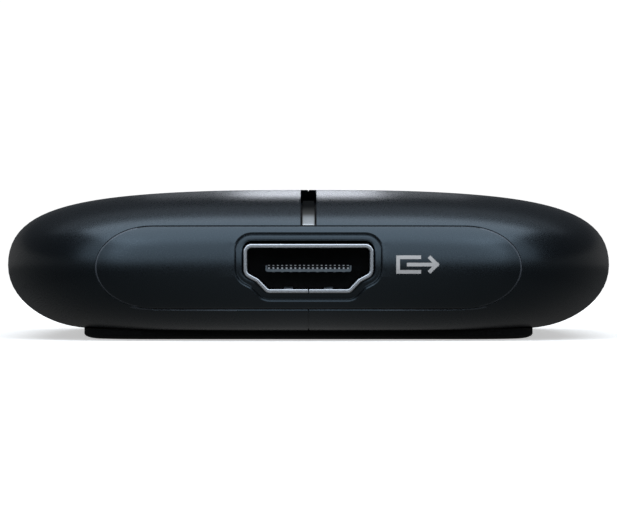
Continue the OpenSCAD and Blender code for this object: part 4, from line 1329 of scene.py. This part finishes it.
class BOX_OT_stage(bpy.types.Operator):
    """Sets the pale sweep, the soft lamps and the camera"""
    bl_idname = "capture_box.stage"
    bl_label = "Stage"

    # Radius of the sweep, height of its wall, steps up its curve, parts round it and drop below the pad
    sweep_r, sweep_h, curve_steps, turns, sweep_drop = 2.4, 0.4, 12, 96, 0.05 * MM
    # Radii of the rings of points in its flat part
    rings = 0, 0.15, 0.4, 1
    # Distance of the camera, its sensor's width, and the picture's width and scale at the front end
    camera_gap, sensor, picture_w, pixels_per_metre = 0.48, 36, 617, 8830
    # Colours of the soft lamps and of the two crown lamps
    cool, pale = "#e9f3ff", "#f2f6ff"

    def execute(self, context):
        scene = context.scene
        scene.view_settings.view_transform = "Standard"
        self.sweep()
        self.world(scene)
        # Overhead softbox with dimmer fills round it, and two small lamps behind the box for the lit crown
        front, crown = (0, -0.05, 0.01), (0, -0.04, 0.016)
        self.lamp("overhead softbox", (0, -0.14, 0.57), front, (0.96, 0.78), 2.1, self.cool)
        self.lamp("front fill", (0, -0.37, 0.165), front, (0.8, 0.265), 1.25, self.cool)
        for side in (-1, 1):
            self.lamp("side fill", (side * 0.38, -0.28, 0.27), front, (0.3, 0.44), 0.8, self.cool)
        self.lamp("rear fill", (0, 0.336, 0.47), front, (0.96, 0.26), 0.2, self.cool)
        self.lamp("crown lamp", (0, 0.15, 0.065), crown, (0.023, 0.024), 4, self.pale)
        self.lamp("crown wash", (0, 0.16, 0.063), crown, (0.06, 0.03), 0.28, self.pale)
        self.camera(scene)
        return {"FINISHED"}

    def sweep(self):
        """Floor that curves up into a low wall all round."""
        bm = bmesh.new()
        flat, rise = self.sweep_r - self.sweep_h, self.sweep_h
        line = [(r, 0) for r in (*self.rings, flat)]
        for k in range(1, self.curve_steps + 1):
            g = math.pi / 2 * k / self.curve_steps
            line.append((flat + rise * math.sin(g), rise * (1 - math.cos(g))))
        verts = [bm.verts.new((r, 0, z - self.sweep_drop)) for r, z in line]
        edges = [bm.edges.new(pair) for pair in zip(verts, verts[1:])]
        bmesh.ops.spin(bm, geom=verts + edges, cent=(0, 0, 0), axis=(0, 0, 1), angle=2 * math.pi,
                       steps=self.turns, use_merge=True)
        bmesh.ops.remove_doubles(bm, verts=bm.verts[:], dist=10 * SAME)
        bmesh.ops.recalc_face_normals(bm, faces=bm.faces[:])
        bm.normal_update()
        if sum(f.normal.z for f in bm.faces) < 0:
            bmesh.ops.reverse_faces(bm, faces=bm.faces[:])
        mesh = bpy.data.meshes.new("sweep")
        bm.to_mesh(mesh)
        bm.free()
        mesh.shade_smooth()
        mesh.materials.append(self.sweep_finish())
        obj = bpy.data.objects.new("sweep", mesh)
        bpy.context.scene.collection.objects.link(obj)

    def sweep_finish(self):
        """Matt white card: takes the box's shadow near it and is plain white to the eye further off."""
        material, tree, shader, place = started("matt white card")
        rgb = bpy.context.scene.box_colours.floor
        path = add(tree, "LightPath").outputs
        card = tinted(tree, grain(tree, place, 2 * MM), rgb, 0.98, 1.0)
        away = add(tree, "VectorMath", {0: place}, operation="LENGTH").outputs["Value"]
        aside = maths(tree, "ABSOLUTE", add(tree, "SeparateXYZ", {0: place}).outputs["X"])
        # The eye sees the card brighten with distance, and the box mirrors it faintly near by and far off
        white = ramp(tree, away, 0.1, 0.4, 0.5, 1)
        near, far = ramp(tree, aside, 0, 0.045, 0.13, 0.02), ramp(tree, away, 0.3, 1, 0, 0.1)
        mirrored = maths(tree, "MAXIMUM", path["Is Glossy Ray"], path["Is Transmission Ray"])
        mirrored = maths(tree, "MULTIPLY", mirrored, maths(tree, "ADD", near, far))
        feed(tree, shader, {
            "Base Color": blended(tree, path["Is Camera Ray"], shade(rgb, 0.05), card),
            "Roughness": 0.9,
            "Specular IOR Level": 0.0,
            "Emission Color": (1, 1, 1, 1),
            "Emission Strength": maths(tree, "MULTIPLY_ADD", path["Is Camera Ray"], white, mirrored)})
        return material

    def world(self, scene):
        """Dim, even room light."""
        scene.world = bpy.data.worlds.new("dim room")
        scene.world.use_nodes = True
        tree = scene.world.node_tree
        tree.nodes.clear()
        room = add(tree, "Background", {"Color": linear("#dfe8f4") + (1,), "Strength": 0.05})
        add(tree, "OutputWorld", {"Surface": room.outputs["Background"]})

    def lamp(self, name, place, target, size, radiance, code):
        """Rectangular soft lamp aimed at a point, with its brightness given as radiance."""
        data = bpy.data.lights.new(name, "AREA")
        data.shape = "RECTANGLE"
        data.size, data.size_y = size
        data.color = linear(code)
        data.energy = radiance * math.pi * size[0] * size[1]
        obj = bpy.data.objects.new(name, data)
        obj.location = place
        obj.rotation_euler = (Vector(target) - Vector(place)).to_track_quat("-Z", "Y").to_euler()
        obj.visible_camera = False
        bpy.context.scene.collection.objects.link(obj)

    def camera(self, scene):
        """Level camera in front of the output end."""
        s = scene.box_casing
        data = bpy.data.cameras.new("camera")
        data.sensor_width = self.sensor
        data.lens = self.sensor * self.pixels_per_metre * self.camera_gap / self.picture_w
        obj = bpy.data.objects.new("camera", data)
        obj.location = (0, -s.body_l / 2 - self.camera_gap, s.belt_z)
        obj.rotation_euler = (math.pi / 2, 0, 0)
        scene.collection.objects.link(obj)
        scene.camera = obj


STEPS = (BOX_OT_casing_halves, BOX_OT_end_panels, BOX_OT_light_guide, BOX_OT_base_pad, BOX_OT_video_sockets,
         BOX_OT_spring_fingers, BOX_OT_data_socket, BOX_OT_output_mark, BOX_OT_inner_parts, BOX_OT_stage)
GROUPS = {"box_casing": CasingSizes, "box_panels": PanelSizes, "box_sockets": SocketSizes,
          "box_colours": FinishColours}


class BOX_PT_sidebar(bpy.types.Panel):
    """Lists the steps that build the box and the sizes they read"""
    bl_idname = "BOX_PT_sidebar"
    bl_label = "Capture Box"
    bl_space_type = "VIEW_3D"
    bl_region_type = "UI"
    bl_category = "Capture Box"

    def draw(self, context):
        column = self.layout.column(align=True)
        for step in STEPS:
            column.operator(step.bl_idname)
        for name in GROUPS:
            box = self.layout.box()
            group = getattr(context.scene, name)
            for key in group.bl_rna.properties.keys():
                if key not in ("rna_type", "name"):
                    box.prop(group, key)


def register():
    """Registers the groups, steps and sidebar panel."""
    for name, group in GROUPS.items():
        bpy.utils.register_class(group)
        setattr(bpy.types.Scene, name, bpy.props.PointerProperty(type=group))
    for step in STEPS:
        bpy.utils.register_class(step)
    bpy.utils.register_class(BOX_PT_sidebar)


def unregister():
    """Takes the panel, steps and groups away again."""
    bpy.utils.unregister_class(BOX_PT_sidebar)
    for step in reversed(STEPS):
        bpy.utils.unregister_class(step)
    for name, group in GROUPS.items():
        delattr(bpy.types.Scene, name)
        bpy.utils.unregister_class(group)


def main():
    register()
    for step in STEPS:
        area, name = step.bl_idname.split(".")
        getattr(getattr(bpy.ops, area), name)()


if __name__ == "__main__":
    main()
